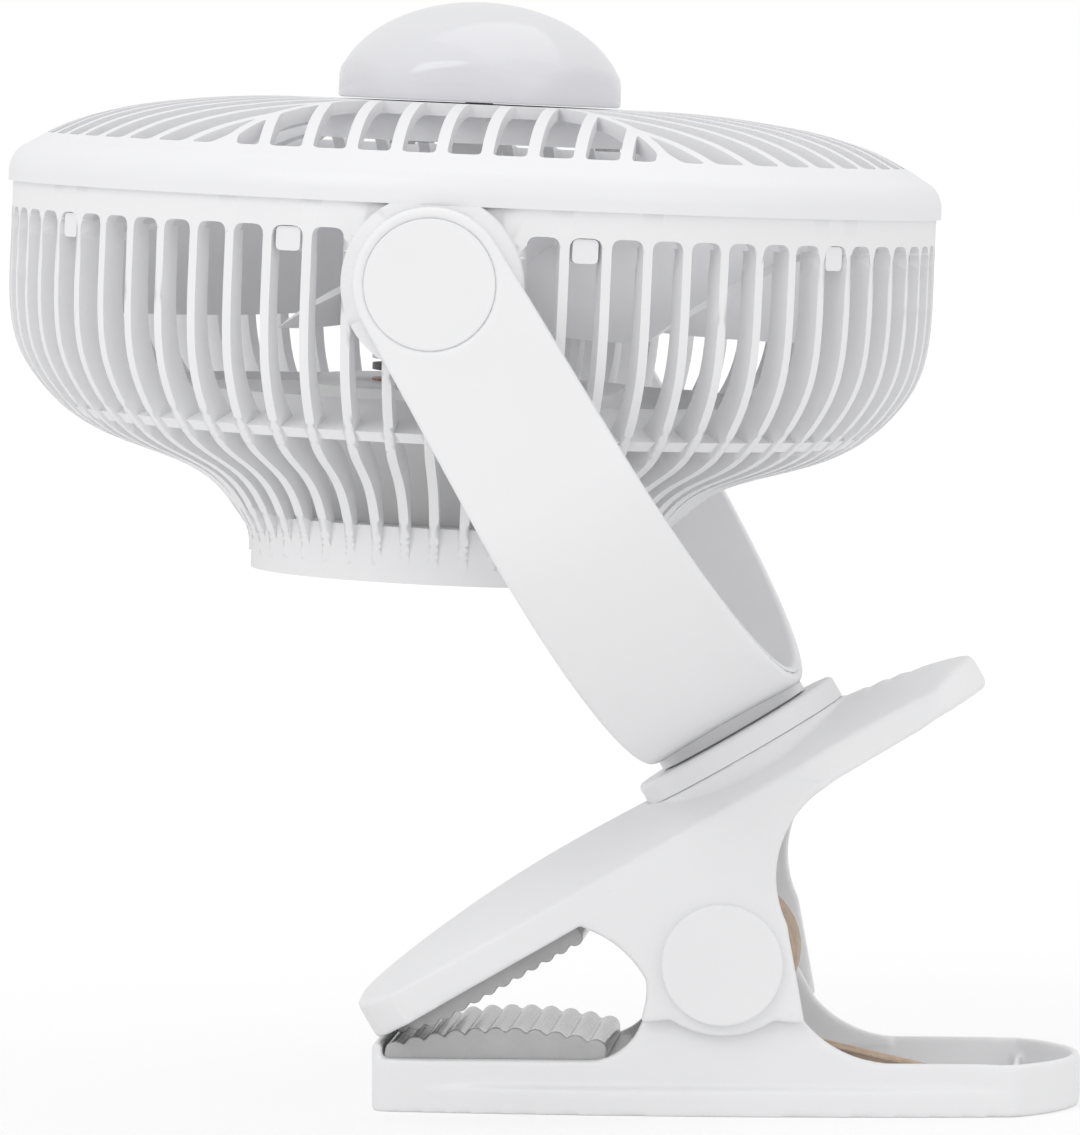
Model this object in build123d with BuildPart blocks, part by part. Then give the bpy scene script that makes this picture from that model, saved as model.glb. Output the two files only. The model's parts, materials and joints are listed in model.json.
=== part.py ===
from build123d import *

import os
from math import acos, atan2, ceil, cos, degrees, dist, hypot, log, pi, radians, sin, sqrt, tan

# A battery clip fan: a fan head that tilts in a yoke, a yoke that swivels on the
# upper lever of a sprung clip, and a flat clip base that also stands on a table.
# Millimetres. +X points to the clip's handle, +Z up, and the origin is the centre
# of the face that the base stands on.

# ---------------------------------------------------------------- clearances
RUNNING_GAP = 0.05  # radial play of a shaft in its hole
SEAT_GAP = 0.02  # radial play of a piece fixed in its seat
SLIP_GAP = 0.15  # space round a piece dropped into a recess
MOVING_GAP = 0.4  # space between faces that pass each other

# ------------------------------------------------------------------ clip base
BASE_LENGTH = 150.6
BASE_BULGE_HALF = 31.0  # half width of the skirt at the middle of its bulge
BASE_WALL_HALF = 27.4  # half width between the straight walls
BASE_BULGE_END = 65.0  # where the bulge of the skirt meets the walls
BASE_ROUND_START = 62.0  # where the rounded handle end begins
BASE_CORNER_R = 5.0
SKIRT_HEIGHT = 5.8
SKIRT_EDGE_R = 1.0
RIM_HEIGHT = 11.2
BASE_WALL = 2.0
TRAY_START = -22.0
TRAY_FLOOR = 2.4
TRAY_RIB_X = 60.6
TRAY_RIB = 1.6
TRAY_RIB_HEIGHT = 7.6
FLOOR_SLOT_X = 44.0
FLOOR_SLOT_LENGTH = 22.0
FLOOR_SLOT_WIDTH = 8.0
NOSE_LIP = 2.4
NOSE_LIP_HEIGHT = 3.0
POCKET_CELLS = 3
EAR_THICK = 3.0
EAR_R = 10.5
EAR_FOOT_NOSE = 28.0  # where the ear meets the rim, towards the nose
EAR_FOOT_HANDLE = 34.0
EAR_WAIST = 17.4
EAR_WAIST_Z = 19.6
EAR_FLARE_NOSE = (3.2, 3.4)  # middle of the foot's flare, out from the waist and up
EAR_FLARE_HANDLE = (5.6, 3.6)

# ------------------------------------------------------------------- clip pin
PIN_Z = 32.3
PIN_R = 3.0
PIN_HEAD_R = 5.0
PIN_HEAD = 1.1
PIN_RING = 0.8

# --------------------------------------------------------------- clip lever
SLOPE_ANGLE = 30.0  # the lever's top and the yoke's swivel axis lean by this
LEVER_WALL = 2.6
LEVER_HALF = 30.6
LEVER_BOTTOM = 50.0  # lower edge of the side walls, square to the slope
LEVER_NOSE = -57.0
LEVER_TAIL = 93.0
LEVER_NOSE_R = 14.0
LEVER_TAIL_R = 32.0
# Stations along the slope: distance, half width, crest height, crease height.
LEVER_STATIONS = (
    (-60.0, 30.6, 58.6, 57.8),
    (-45.0, 30.6, 62.0, 57.2),
    (-25.0, 30.6, 64.3, 56.7),
    (0.0, 30.6, 65.2, 56.5),
    (25.0, 30.6, 64.6, 56.5),
    (50.0, 30.2, 64.0, 56.5),
    (66.0, 26.0, 63.1, 56.5),
    (81.0, 22.5, 60.9, 55.8),
    (95.0, 21.0, 57.0, 54.4),
)
PLATE_GAP = 0.4  # between the base's ears and the lever's side plates
# Outline of a side plate in the front view: an arch over the jaw, a scalloped
# foot under the pin and a throat up to the handle.
PLATE_ARCH = ((-28.9, 39.6), (-21.3, 35.2), (-16.1, 28.6))
PLATE_HEEL = ((-16.2, 25.0), (-17.4, 19.8), (-11.0, 20.5))
PLATE_SCALLOP_Z = 17.1
PLATE_TOE = ((17.4, 19.8), (13.6, 41.0))
PLATE_THROAT = ((12.0, 56.5), (22.9, 70.7))
PLATE_TOP = ((16.3, 71.8), (-33.9, 42.8))
PIN_CAP_R = 12.9
PIN_CAP = 2.0
PIN_CAP_POCKET = 1.4
GRIP_MARK_U = (70.5, 75.0, 79.5)
GRIP_MARK_LENGTH = 13.0
GRIP_MARK_WIDTH = 1.9
GRIP_MARK_DEPTH = 0.7
SPRING_SEAT_U = 56.0
SPRING_SEAT_UNDER = 4.2  # from the crest down to the face that the leg bears on
SPRING_SEAT = 9.0
PAD_RIBS = 3
PAD_RIB_SPACING = 15.0
LEVER_RIB = 1.8
LEVER_RIB_REACH = 20.0
PIN_CAP_EDGE_R = 0.6

# ---------------------------------------------------------------- rubber pads
UPPER_PAD_HALF = 26.0
LOWER_PAD_HALF = 24.0
PAD_CORNER_R = 12.0
LOWER_PAD_START = -72.4
LOWER_PAD_END = -25.0
LOWER_PAD_ENDS_Z = (14.2, 15.0)  # tooth tips at the nose and inner ends
LOWER_PAD_CROWN_Z = 17.9
LOWER_TEETH = 11
UPPER_PAD_START = -53.0
UPPER_PAD_END = -7.0
UPPER_PAD_TOP = 51.6
UPPER_PAD_TIP = 46.4
UPPER_PAD_NOSE_TIP = 48.6
UPPER_TEETH = 13
UPPER_NOSE_TEETH = 3  # teeth over which the tips come forward
TOOTH_DEPTH = 1.7

# ------------------------------------------------------------- torsion spring
SPRING_WIRE = 2.4
SPRING_OUTER_R = 15.0
SPRING_TURNS = 7
SPRING_PITCH = 2.95
SPRING_LEG_X = 57.0
WIRE_SAMPLES = 900  # points on which the wire's gap to itself is measured
DRUM_R = 11.8

# -------------------------------------------------------------------- swivel
SWIVEL_U = 40.8  # place of the swivel axis along the slope
FLANGE_TOP = 68.6
FLANGE_R = 23.8
FLANGE_THICK = 4.8
FLANGE_EDGE_R = 1.0
NECK_R = 17.5
SPIGOT_R = 9.0
WASHER_IN_R = 9.6
WASHER_OUT_R = 15.6
WASHER_THICK = 1.6
BOLT_R = 4.0
BOLT_HEAD_R = 6.6
BOLT_HEAD = 2.6
LEVER_BOSS_UNDER = 60.0
WAVE_WASHER = 1.0
WAVE_WASHER_R = 9.0
NUT = 3.4
NUT_FLAT_HALF = 6.0
FLANGE_SCREWS = 3
FLANGE_SCREW_PCR = 19.5
FLANGE_SCREW_BITE = 3.2

# ---------------------------------------------------------------------- yoke
PIVOT_N = 181.8  # height of the head's pivot, square to the slope
YOKE_INNER_HALF = 103.0
YOKE_STRAIGHT = 47.0  # from the pivot to the start of the bowed part
YOKE_BOW = 60.0  # inner depth of the bowed part
YOKE_LINER = 1.6
YOKE_SHELL = 2.4
YOKE_TOP_R = 15.75
YOKE_FOOT_HALF = 18.3
YOKE_EDGE_R = 0.9

# --------------------------------------------------------------- head hinges
HINGE_CAP_R = 13.4
HINGE_CAP = 1.2
HINGE_PIN_R = 5.0
HINGE_HEAD_R = 9.0
HINGE_WASHER_R = 12.5
HINGE_RING = 0.9
HINGE_BOSS_R = 18.5
HINGE_BOSS_TUBE_R = 8.4
HINGE_BOSS_WALL = 2.2
HINGE_GROOVE_R = 4.2
HINGE_RING_R = 7.0
HINGE_RING_ROOM = 4.0  # free space past the pin's end, where the ring is pushed on
HINGE_PIN_TIP = 0.8
HINGE_CAP_GROOVE = 0.3
HINGE_CAP_EDGE = 0.25
HINGE_BOSS_INNER = 93.4  # inner end of the boss tube, from the head's axis
HINGE_FACE_GAP = 0.6  # boss face to yoke, filled by the friction washer

# ----------------------------------------------------------------- fan head
HEAD_TILT = 2.5  # lean of the head's axis towards the handle, at rest
SEAM_ABOVE_PIVOT = 16.0
# Front grille.
GRILLE_R = 100.0
# Outside of the dome from its rim inward: radius, height above the seam.
GRILLE_DOME = (
    (100.0, 2.2),
    (98.6, 6.2),
    (94.9, 8.8),
    (85.2, 13.7),
    (75.5, 16.6),
    (62.4, 18.8),
    (38.0, 20.4),
)
GRILLE_WALL = 2.6
GRILLE_UNDER = ((75.0, 15.8), (90.0, 10.2))  # its underside, lower by the wall
GRILLE_RIM_LIP = 1.8  # straight inner height of the rim
GRILLE_BARS = 60
GRILLE_BAR = 2.0
GRILLE_SLOT_IN_R = 38.7
GRILLE_SLOT_OUT_R = 88.6
GRILLE_SLOT_END = 2.6  # bulge of a slot's outer end
GRILLE_LEAN = 20.0  # angle of a bar from the radial line
GRILLE_HUB_WALL_R = 36.5
GRILLE_HUB_DEPTH = 8.2
GRILLE_TOP = 20.4
HOOKS = 10
HOOK_WIDTH = 5.4
HOOK_HEIGHT = 6.0
HOOK_ARM = 1.6
HOOK_ROOT = 6.0  # height above the seam where an arm joins the dome
HOOK_NOSE = 2.2  # reach of the nose into its slot
# Rear cage.
CAGE_R = 99.0
CAGE_BAND = 9.0
CAGE_WALL = 2.6
CAGE_RIBS = 70
CAGE_RIB = 2.0
RIB_ROOT = 2.0  # how far a rib reaches up into the band
SLOT_HEAD = 5.0  # height of the band's stretch that holds the slots' tops
SLOT_CORNER_R = 2.2
# Outer and inner edge of a rib towards +X: depth below the seam, radius.
CAGE_OUTER = (
    (10.0, 99.0),
    (24.0, 98.9),
    (34.5, 96.9),
    (43.8, 90.7),
    (50.7, 81.9),
    (57.0, 63.8),
    (63.0, 51.2),
    (69.5, 44.4),
    (75.6, 42.3),
)
CAGE_INNER = (
    (10.0, 92.6),
    (26.0, 92.0),
    (36.5, 87.6),
    (44.0, 78.5),
    (50.5, 62.0),
    (57.0, 48.5),
    (66.0, 41.2),
    (75.6, 40.6),
)
HUB_END_R = 42.2  # rounded ends of the rear hub
HUB_HALF_STRAIGHT = 25.6  # half the distance between their centres
HUB_TOP = 67.5
HUB_BOTTOM = 79.2
HUB_WALL = 2.2
HUB_LEDGE = 1.6
LEDGE_GAP = 0.6
COVER_THICK = 2.0
# Inner ring, from its lip upward: depth below the seam, half widths along X and Y.
RING_OUTSIDE = ((49.0, 84.4, 90.4), (47.0, 86.6, 92.2), (41.0, 71.0, 76.5))
RING_WALL = 1.8
HOLDER_SCREW_X = 25.0
HOLDER_SCREW_Y = 53.0
HOLDER_SCREW_HEAD_R = 2.2
COVER_SCREW_X = 34.4
COVER_SCREW_Y = 28.0
COVER_POST_R = 3.0
COVER_COUNTERBORE = 1.2
COVER_SCREW_BITE = 4.0

# ---------------------------------------------------- battery and electronics
HOLDER_TOP = 39.6
HOLDER_END_R = 33.0
HOLDER_WALL = 1.8
HOLDER_FLANGE = 1.6
CELL_R = 10.5
CELL_LENGTH = 70.0
CELL_SPACING = 23.0
CELL_CLEARANCE = 1.2
CONTACT = 0.6
CONTACT_R = 7.4
BOARD_DEPTH = 71.6
BOARD_THICK = 1.6
BOARD_END_R = 34.4
BOARD_REST_X = 33.8
BOARD_REST_Y = 10.0
# Parts on the board: centre, size along X and Y, height.
BOARD_CHIPS = (
    (-14.0, 18.0, 7.0, 7.0, 2.2),
    (6.0, -16.0, 5.0, 5.0, 1.0),
    (18.0, 14.0, 6.0, 4.0, 1.4),
)
PORT_SHELL = 0.5
CRADLE_SPACING = 44.0
PORT_WIDTH = 9.0
PORT_HEIGHT = 3.2
PORT_LENGTH = 7.4

# -------------------------------------------------------- motor and impeller
MOTOR_BOARD = 0.5
STANDOFF = 1.8
MOTOR_BASE_R = 20.5
MOTOR_BASE = 1.4
BEARING_TUBE_R = 9.6
BEARING_R = 8.1
BEARING_WIDTH = 5.0
SHAFT_R = 5.0
SHAFT_BORE_R = 3.7
SHAFT_ABOVE_CAN = 8.0
MOTOR_AIR = 0.5  # gap between the motor's standing and turning pieces
STANDOFFS = 4
STANDOFF_R = 1.6
STANDOFF_PCR = 17.5
STANDOFF_START = 45.0
BEARING_GROOVE = 0.4
STATOR_YOKE = 1.2
TOOTH_WIDTH = 2.0
TOOTH_TIP = 1.0
TOOTH_TIP_WIDTH = 8.0
COIL_SIDE = 1.2
CENTRE_TUBE_R = 3.2
CENTRE_TUBE_BORE_R = 2.2
CENTRE_SLEEVE_R = 5.4
SLEEVE_GAP = 1.5  # from the impeller's hub to the wide part of the centre tube
LEAD_R = 1.5
STATOR_R = 15.4
STATOR_HEIGHT = 11.0
STATOR_TEETH = 9
WINDING = 2.0
CAN_R = 18.0
CAN_WALL = 1.0
MAGNET = 1.0
IMPELLER_R = 87.5
IMPELLER_HUB_R = 20.6
IMPELLER_HUB_TOP = -6.5
IMPELLER_WEB = 2.0
IMPELLER_BOSS_R = 8.0
IMPELLER_SCREWS = 3
IMPELLER_SCREW_PCR = 12.5
BLADE_CAMBER = 0.07  # height of the blade's arc, over its chord
BLADES = 7
BLADE_THICK = 1.8
# Blade sections: radius, chord, angle to the disc, sweep along the disc.
BLADE_SECTIONS = (
    (19.6, 24.0, 42.0, 0.0),
    (52.0, 42.0, 30.0, 5.0),
    (87.5, 60.0, 20.0, 14.0),
)
BLADE_MID = 16.5  # depth of the blades' mid line below the seam

# ------------------------------------------------------------- speed control
KNOB_R = 31.2
KNOB_RIDGE_R = 30.9
KNOB_VALLEY_R = 28.3
KNOB_FLUTES = 6
KNOB_RIDGE_ANGLE = -124.0  # one ridge, seen from the front, from +X
KNOB_BASE = 21.2
KNOB_TOP = 42.2
KNOB_WALL = 2.2
KNOB_DOME_STEPS = 4
KNOB_STEM_R = 5.6
POT_R = 8.5
POT_DEPTH = 2.4
POT_SHAFT_R = 3.0
POT_BUSH_R = 4.6
POT_BACK = 0.6
CONTROL_STEM = 11.0  # height of the control's shaft above the grille
KNOB_HOLLOW_R = 25.8
HUB_COVER = 1.6
HUB_COVER_SCREWS = 3
HUB_COVER_PCR = 28.0
HUB_COVER_BITE = 1.8
SCREW_R = 1.4
SCREW_HEAD_R = 2.7
SCREW_HEAD = 1.6

# ------------------------------------------------------------ worked-out places
slope = radians(SLOPE_ANGLE)
along = (cos(slope), 0, sin(slope))  # up the slope
upright = (-sin(slope), 0, cos(slope))  # square to the slope: the swivel axis
SLOPE = Plane(origin=(0, 0, 0), x_dir=along, z_dir=upright)
SLOPE_SIDE = Plane(origin=(0, 0, 0), x_dir=along, z_dir=(0, -1, 0))
swivel_base = SLOPE.from_local_coords((SWIVEL_U, 0, 0))
SWIVEL = Plane(origin=swivel_base, x_dir=along, z_dir=upright)
swivel_axis = Axis(swivel_base, upright)

pivot = SLOPE.from_local_coords((SWIVEL_U, 0, PIVOT_N))
lean = radians(HEAD_TILT)
head_x = (cos(lean), 0, -sin(lean))
head_up = (sin(lean), 0, cos(lean))
seam = pivot + Vector(*head_up) * SEAM_ABOVE_PIVOT
HEAD = Plane(origin=seam, x_dir=head_x, z_dir=head_up)
HEAD_SECTION = Plane(origin=seam, x_dir=head_x, z_dir=(0, -1, 0))
head_axis = Axis(seam, head_up)

plate_inner = BASE_WALL_HALF + PLATE_GAP
plate_outer = LEVER_HALF
flange_foot = FLANGE_TOP - FLANGE_THICK
neck_foot = FLANGE_TOP + MOVING_GAP
yoke_inner_n = PIVOT_N - YOKE_STRAIGHT - YOKE_BOW
yoke_outer_n = yoke_inner_n - YOKE_LINER - YOKE_SHELL
yoke_outer_half = YOKE_INNER_HALF + YOKE_LINER + YOKE_SHELL


spring_leg_y = SPRING_PITCH * SPRING_TURNS / 2 + SPRING_PITCH / 2
spring_seat_n = LEVER_STATIONS[5][2] - SPRING_SEAT_UNDER


sleeve_foot = IMPELLER_HUB_TOP + SLEEVE_GAP
stem_top = GRILLE_TOP + CONTROL_STEM
pot_top = GRILLE_TOP - GRILLE_WALL
pot_foot = pot_top - POT_DEPTH - POT_BACK
port_depth = BOARD_DEPTH + BOARD_THICK + PORT_HEIGHT / 2
cell_depth = HOLDER_TOP + HOLDER_WALL + CELL_R + CELL_CLEARANCE


def crest_at(u):
    """Height of the lever's crest between its stations."""
    for (low, _, low_crest, _), (high, _, high_crest, _) in zip(
        LEVER_STATIONS, LEVER_STATIONS[1:]
    ):
        if low <= u <= high:
            return low_crest + (high_crest - low_crest) * (u - low) / (high - low)
    raise ValueError("outside the lever")


def cell_point(side):
    """Middle of a battery cell, as the front view's X and Z."""
    centre = HEAD.from_local_coords((side * CELL_SPACING / 2, 0, -cell_depth))
    return (centre.X, centre.Z)


def save(piece, label):
    """Names a finished piece and writes it to its own file."""
    piece.label = label
    export_step(piece, f"parts/{label}.step")


def radial_plane(angle):
    """Plane through the head's axis at an angle: x runs outward, y up the axis."""
    turn = radians(angle)
    outward = HEAD.from_local_coords((cos(turn), sin(turn), 0)) - seam
    side = outward.cross(Vector(*head_up))
    return Plane(origin=seam, x_dir=outward, z_dir=side)


def tangent_plane(angle, distance):
    """Plane facing outward at an angle round the head: x runs round it, y up the axis."""
    turn = radians(angle)
    centre = HEAD.from_local_coords((distance * cos(turn), distance * sin(turn), 0))
    outward = centre - seam
    round_it = Vector(*head_up).cross(outward)
    return Plane(origin=centre, x_dir=round_it, z_dir=outward)


def swirl_slot():
    """One slot of the front grille, between two bars that curve the same way."""
    radii = (
        GRILLE_SLOT_IN_R,
        sqrt(GRILLE_SLOT_IN_R * GRILLE_SLOT_OUT_R),
        GRILLE_SLOT_OUT_R,
    )
    edges = []
    for bar, side in ((0, 1), (1, -1)):
        points = []
        for radius in radii:
            turn = 2 * pi * bar / GRILLE_BARS
            turn -= tan(radians(GRILLE_LEAN)) * log(radius / GRILLE_SLOT_IN_R)
            turn += side * GRILLE_BAR / (2 * radius * cos(radians(GRILLE_LEAN)))
            points.append((radius * cos(turn), radius * sin(turn)))
        edges.append(points)
    with BuildSketch() as slot:
        with BuildLine():
            first = ThreePointArc(*edges[0])
            second = ThreePointArc(*edges[1])
            Line(first @ 0, second @ 0)
            outward = Vector(*edges[0][2]) + Vector(*edges[1][2])
            end_mid = outward.normalized() * (GRILLE_SLOT_OUT_R + GRILLE_SLOT_END)
            ThreePointArc(first @ 1, end_mid, second @ 1)
        make_face()
    return slot.sketch


def obround(end_r, half_straight=HUB_HALF_STRAIGHT, mode=Mode.ADD):
    """Obround with its long way along Y."""
    SlotCenterToCenter(2 * half_straight, 2 * end_r, rotation=90, mode=mode)


def obround_reach(angle, end_r=HUB_END_R, half_straight=HUB_HALF_STRAIGHT):
    """Distance from the middle of an obround to its edge, at an angle from X."""
    across = abs(cos(radians(angle)))
    lengthwise = abs(sin(radians(angle)))
    if end_r * lengthwise <= half_straight * across:
        return end_r / across
    middle = half_straight * lengthwise
    return middle + sqrt(middle**2 + end_r**2 - half_straight**2)


os.makedirs("parts", exist_ok=True)

# ================================================================== clip base
def base_plan(inset, x_low, x_high, half_width=BASE_BULGE_HALF):
    """The base seen from above, drawn in by inset and cut to a stretch of its length."""
    half = BASE_LENGTH / 2
    bulge_r = (BASE_BULGE_END**2 + (BASE_BULGE_HALF - BASE_WALL_HALF) ** 2) / (
        2 * (BASE_BULGE_HALF - BASE_WALL_HALF)
    )
    nose_half = BASE_BULGE_HALF - bulge_r + sqrt(bulge_r**2 - half**2)
    with BuildSketch() as plan:
        with BuildLine():
            far = ThreePointArc(
                (-half, nose_half),
                (0, BASE_BULGE_HALF),
                (BASE_ROUND_START, BASE_WALL_HALF),
            )
            tip = ThreePointArc(far @ 1, (half, 0), (BASE_ROUND_START, -BASE_WALL_HALF))
            near = ThreePointArc(tip @ 1, (0, -BASE_BULGE_HALF), (-half, -nose_half))
            Line(near @ 1, far @ 0)
        make_face()
        fillet(plan.vertices().group_by(Axis.X)[0], BASE_CORNER_R)
        if inset > 0:
            offset(amount=-inset)
        with Locations(((x_low + x_high) / 2, 0)):
            Rectangle(x_high - x_low, 2 * half_width, mode=Mode.INTERSECT)
    return plan.sketch


base_half = BASE_LENGTH / 2
pad_plate_under = RIM_HEIGHT - BASE_WALL
pocket_start = BASE_WALL - base_half
pocket_end = TRAY_START - BASE_WALL
pocket_step = (pocket_end - pocket_start) / POCKET_CELLS
with BuildPart() as clip_base:
    add(base_plan(0, -base_half, base_half))
    extrude(amount=SKIRT_HEIGHT)
    fillet(clip_base.faces().sort_by(Axis.Z)[-1].outer_wire().edges(), SKIRT_EDGE_R)
    extrude(base_plan(0, -base_half, base_half, BASE_WALL_HALF), amount=RIM_HEIGHT)
    extrude(
        base_plan(0, -base_half, NOSE_LIP - base_half, BASE_WALL_HALF - LEVER_WALL),
        amount=RIM_HEIGHT + NOSE_LIP_HEIGHT,
    )
    with BuildSketch(Plane.XY.offset(TRAY_FLOOR)):
        add(base_plan(BASE_WALL, TRAY_START, base_half, BASE_WALL_HALF - BASE_WALL))
    extrude(amount=RIM_HEIGHT, mode=Mode.SUBTRACT)
    for cell in range(POCKET_CELLS):
        low = pocket_start + cell * pocket_step
        high = low + pocket_step - BASE_WALL * (cell < POCKET_CELLS - 1)
        extrude(
            base_plan(BASE_WALL, low, high, BASE_WALL_HALF - BASE_WALL),
            amount=pad_plate_under,
            mode=Mode.SUBTRACT,
        )
    with BuildSketch(Plane.XY.offset(TRAY_FLOOR)):
        add(
            base_plan(
                BASE_WALL / 2, TRAY_RIB_X, TRAY_RIB_X + TRAY_RIB, BASE_WALL_HALF - BASE_WALL / 2
            )
        )
    extrude(amount=TRAY_RIB_HEIGHT - TRAY_FLOOR)
    with BuildSketch():
        with Locations((FLOOR_SLOT_X, 0)):
            SlotOverall(FLOOR_SLOT_LENGTH, FLOOR_SLOT_WIDTH)
    extrude(amount=TRAY_FLOOR, mode=Mode.SUBTRACT)
    # Ears that carry the clip pin, with feet that flare out to the rim.
    with BuildSketch(Plane.XZ.offset(BASE_WALL_HALF - EAR_THICK)):
        with BuildLine():
            nose_foot = ThreePointArc(
                (-EAR_FOOT_NOSE, RIM_HEIGHT),
                (-EAR_WAIST - EAR_FLARE_NOSE[0], RIM_HEIGHT + EAR_FLARE_NOSE[1]),
                (-EAR_WAIST, EAR_WAIST_Z),
            )
            nose_side = Line(nose_foot @ 1, (-EAR_R, PIN_Z))
            crown = ThreePointArc(nose_side @ 1, (0, PIN_Z + EAR_R), (EAR_R, PIN_Z))
            handle_side = Line(crown @ 1, (EAR_WAIST, EAR_WAIST_Z))
            handle_foot = ThreePointArc(
                handle_side @ 1,
                (EAR_WAIST + EAR_FLARE_HANDLE[0], RIM_HEIGHT + EAR_FLARE_HANDLE[1]),
                (EAR_FOOT_HANDLE, RIM_HEIGHT),
            )
            Polyline(
                handle_foot @ 1,
                (EAR_FOOT_HANDLE, RIM_HEIGHT - BASE_WALL),
                (-EAR_FOOT_NOSE, RIM_HEIGHT - BASE_WALL),
                nose_foot @ 0,
            )
        make_face()
        with Locations((0, PIN_Z)):
            Circle(PIN_R + SEAT_GAP, mode=Mode.SUBTRACT)
    ears = extrude(amount=EAR_THICK)
    mirror(ears, about=Plane.XZ)
save(clip_base.part, "clip_base")

# Steel pin with one head; a push-on ring holds its other end.
pin_half = plate_outer + RUNNING_GAP
with BuildPart() as clip_pin:
    with BuildSketch(Plane.XZ.offset(-pin_half - PIN_RING - SEAT_GAP)):
        with Locations((0, PIN_Z)):
            Circle(PIN_R)
    extrude(amount=2 * pin_half + PIN_RING + SEAT_GAP)
    with BuildSketch(Plane.XZ.offset(pin_half)):
        with Locations((0, PIN_Z)):
            Circle(PIN_HEAD_R)
    extrude(amount=PIN_HEAD)
save(clip_pin.part, "clip_pin")

with BuildPart() as pin_retainer:
    with BuildSketch(Plane.XZ.offset(-pin_half - PIN_RING)):
        with Locations((0, PIN_Z)):
            Circle(PIN_HEAD_R)
            Circle(PIN_R + SEAT_GAP, mode=Mode.SUBTRACT)
    extrude(amount=PIN_RING)
save(pin_retainer.part, "pin_retainer")

drum_half = BASE_WALL_HALF - EAR_THICK - SLIP_GAP
with BuildPart() as spring_drum:
    with BuildSketch(Plane.XZ):
        with Locations((0, PIN_Z)):
            Circle(DRUM_R)
            Circle(PIN_R + RUNNING_GAP, mode=Mode.SUBTRACT)
    extrude(amount=drum_half, both=True)
save(spring_drum.part, "spring_drum")


# ================================================================= clip lever
def crowned_body(inset, bottom):
    """Long crowned body of the lever, drawn in by inset, down to a flat bottom."""
    with BuildPart() as body:
        for station, half_width, crest, crease in LEVER_STATIONS:
            origin = SLOPE.from_local_coords((station, 0, 0))
            half = half_width - inset
            with BuildSketch(Plane(origin=origin, x_dir=(0, 1, 0), z_dir=along)):
                with BuildLine():
                    crown = ThreePointArc(
                        (-half, crease - inset), (0, crest - inset), (half, crease - inset)
                    )
                    Polyline(crown @ 1, (half, bottom), (-half, bottom), crown @ 0)
                make_face()
        loft()
        # Rounded nose and handle end, seen square to the slope.
        end_r = LEVER_TAIL_R - inset
        end_centre = LEVER_TAIL - LEVER_TAIL_R
        with BuildSketch(SLOPE.offset(bottom)) as ends:
            with Locations(((LEVER_NOSE + inset + end_centre) / 2, 0)):
                Rectangle(end_centre - LEVER_NOSE - inset, 2 * end_r)
            fillet(ends.vertices().group_by(Axis.X)[0], LEVER_NOSE_R)
            with Locations((end_centre, 0)):
                Circle(end_r)
        extrude(amount=LEVER_TAIL, mode=Mode.INTERSECT)
    return body.part


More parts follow.
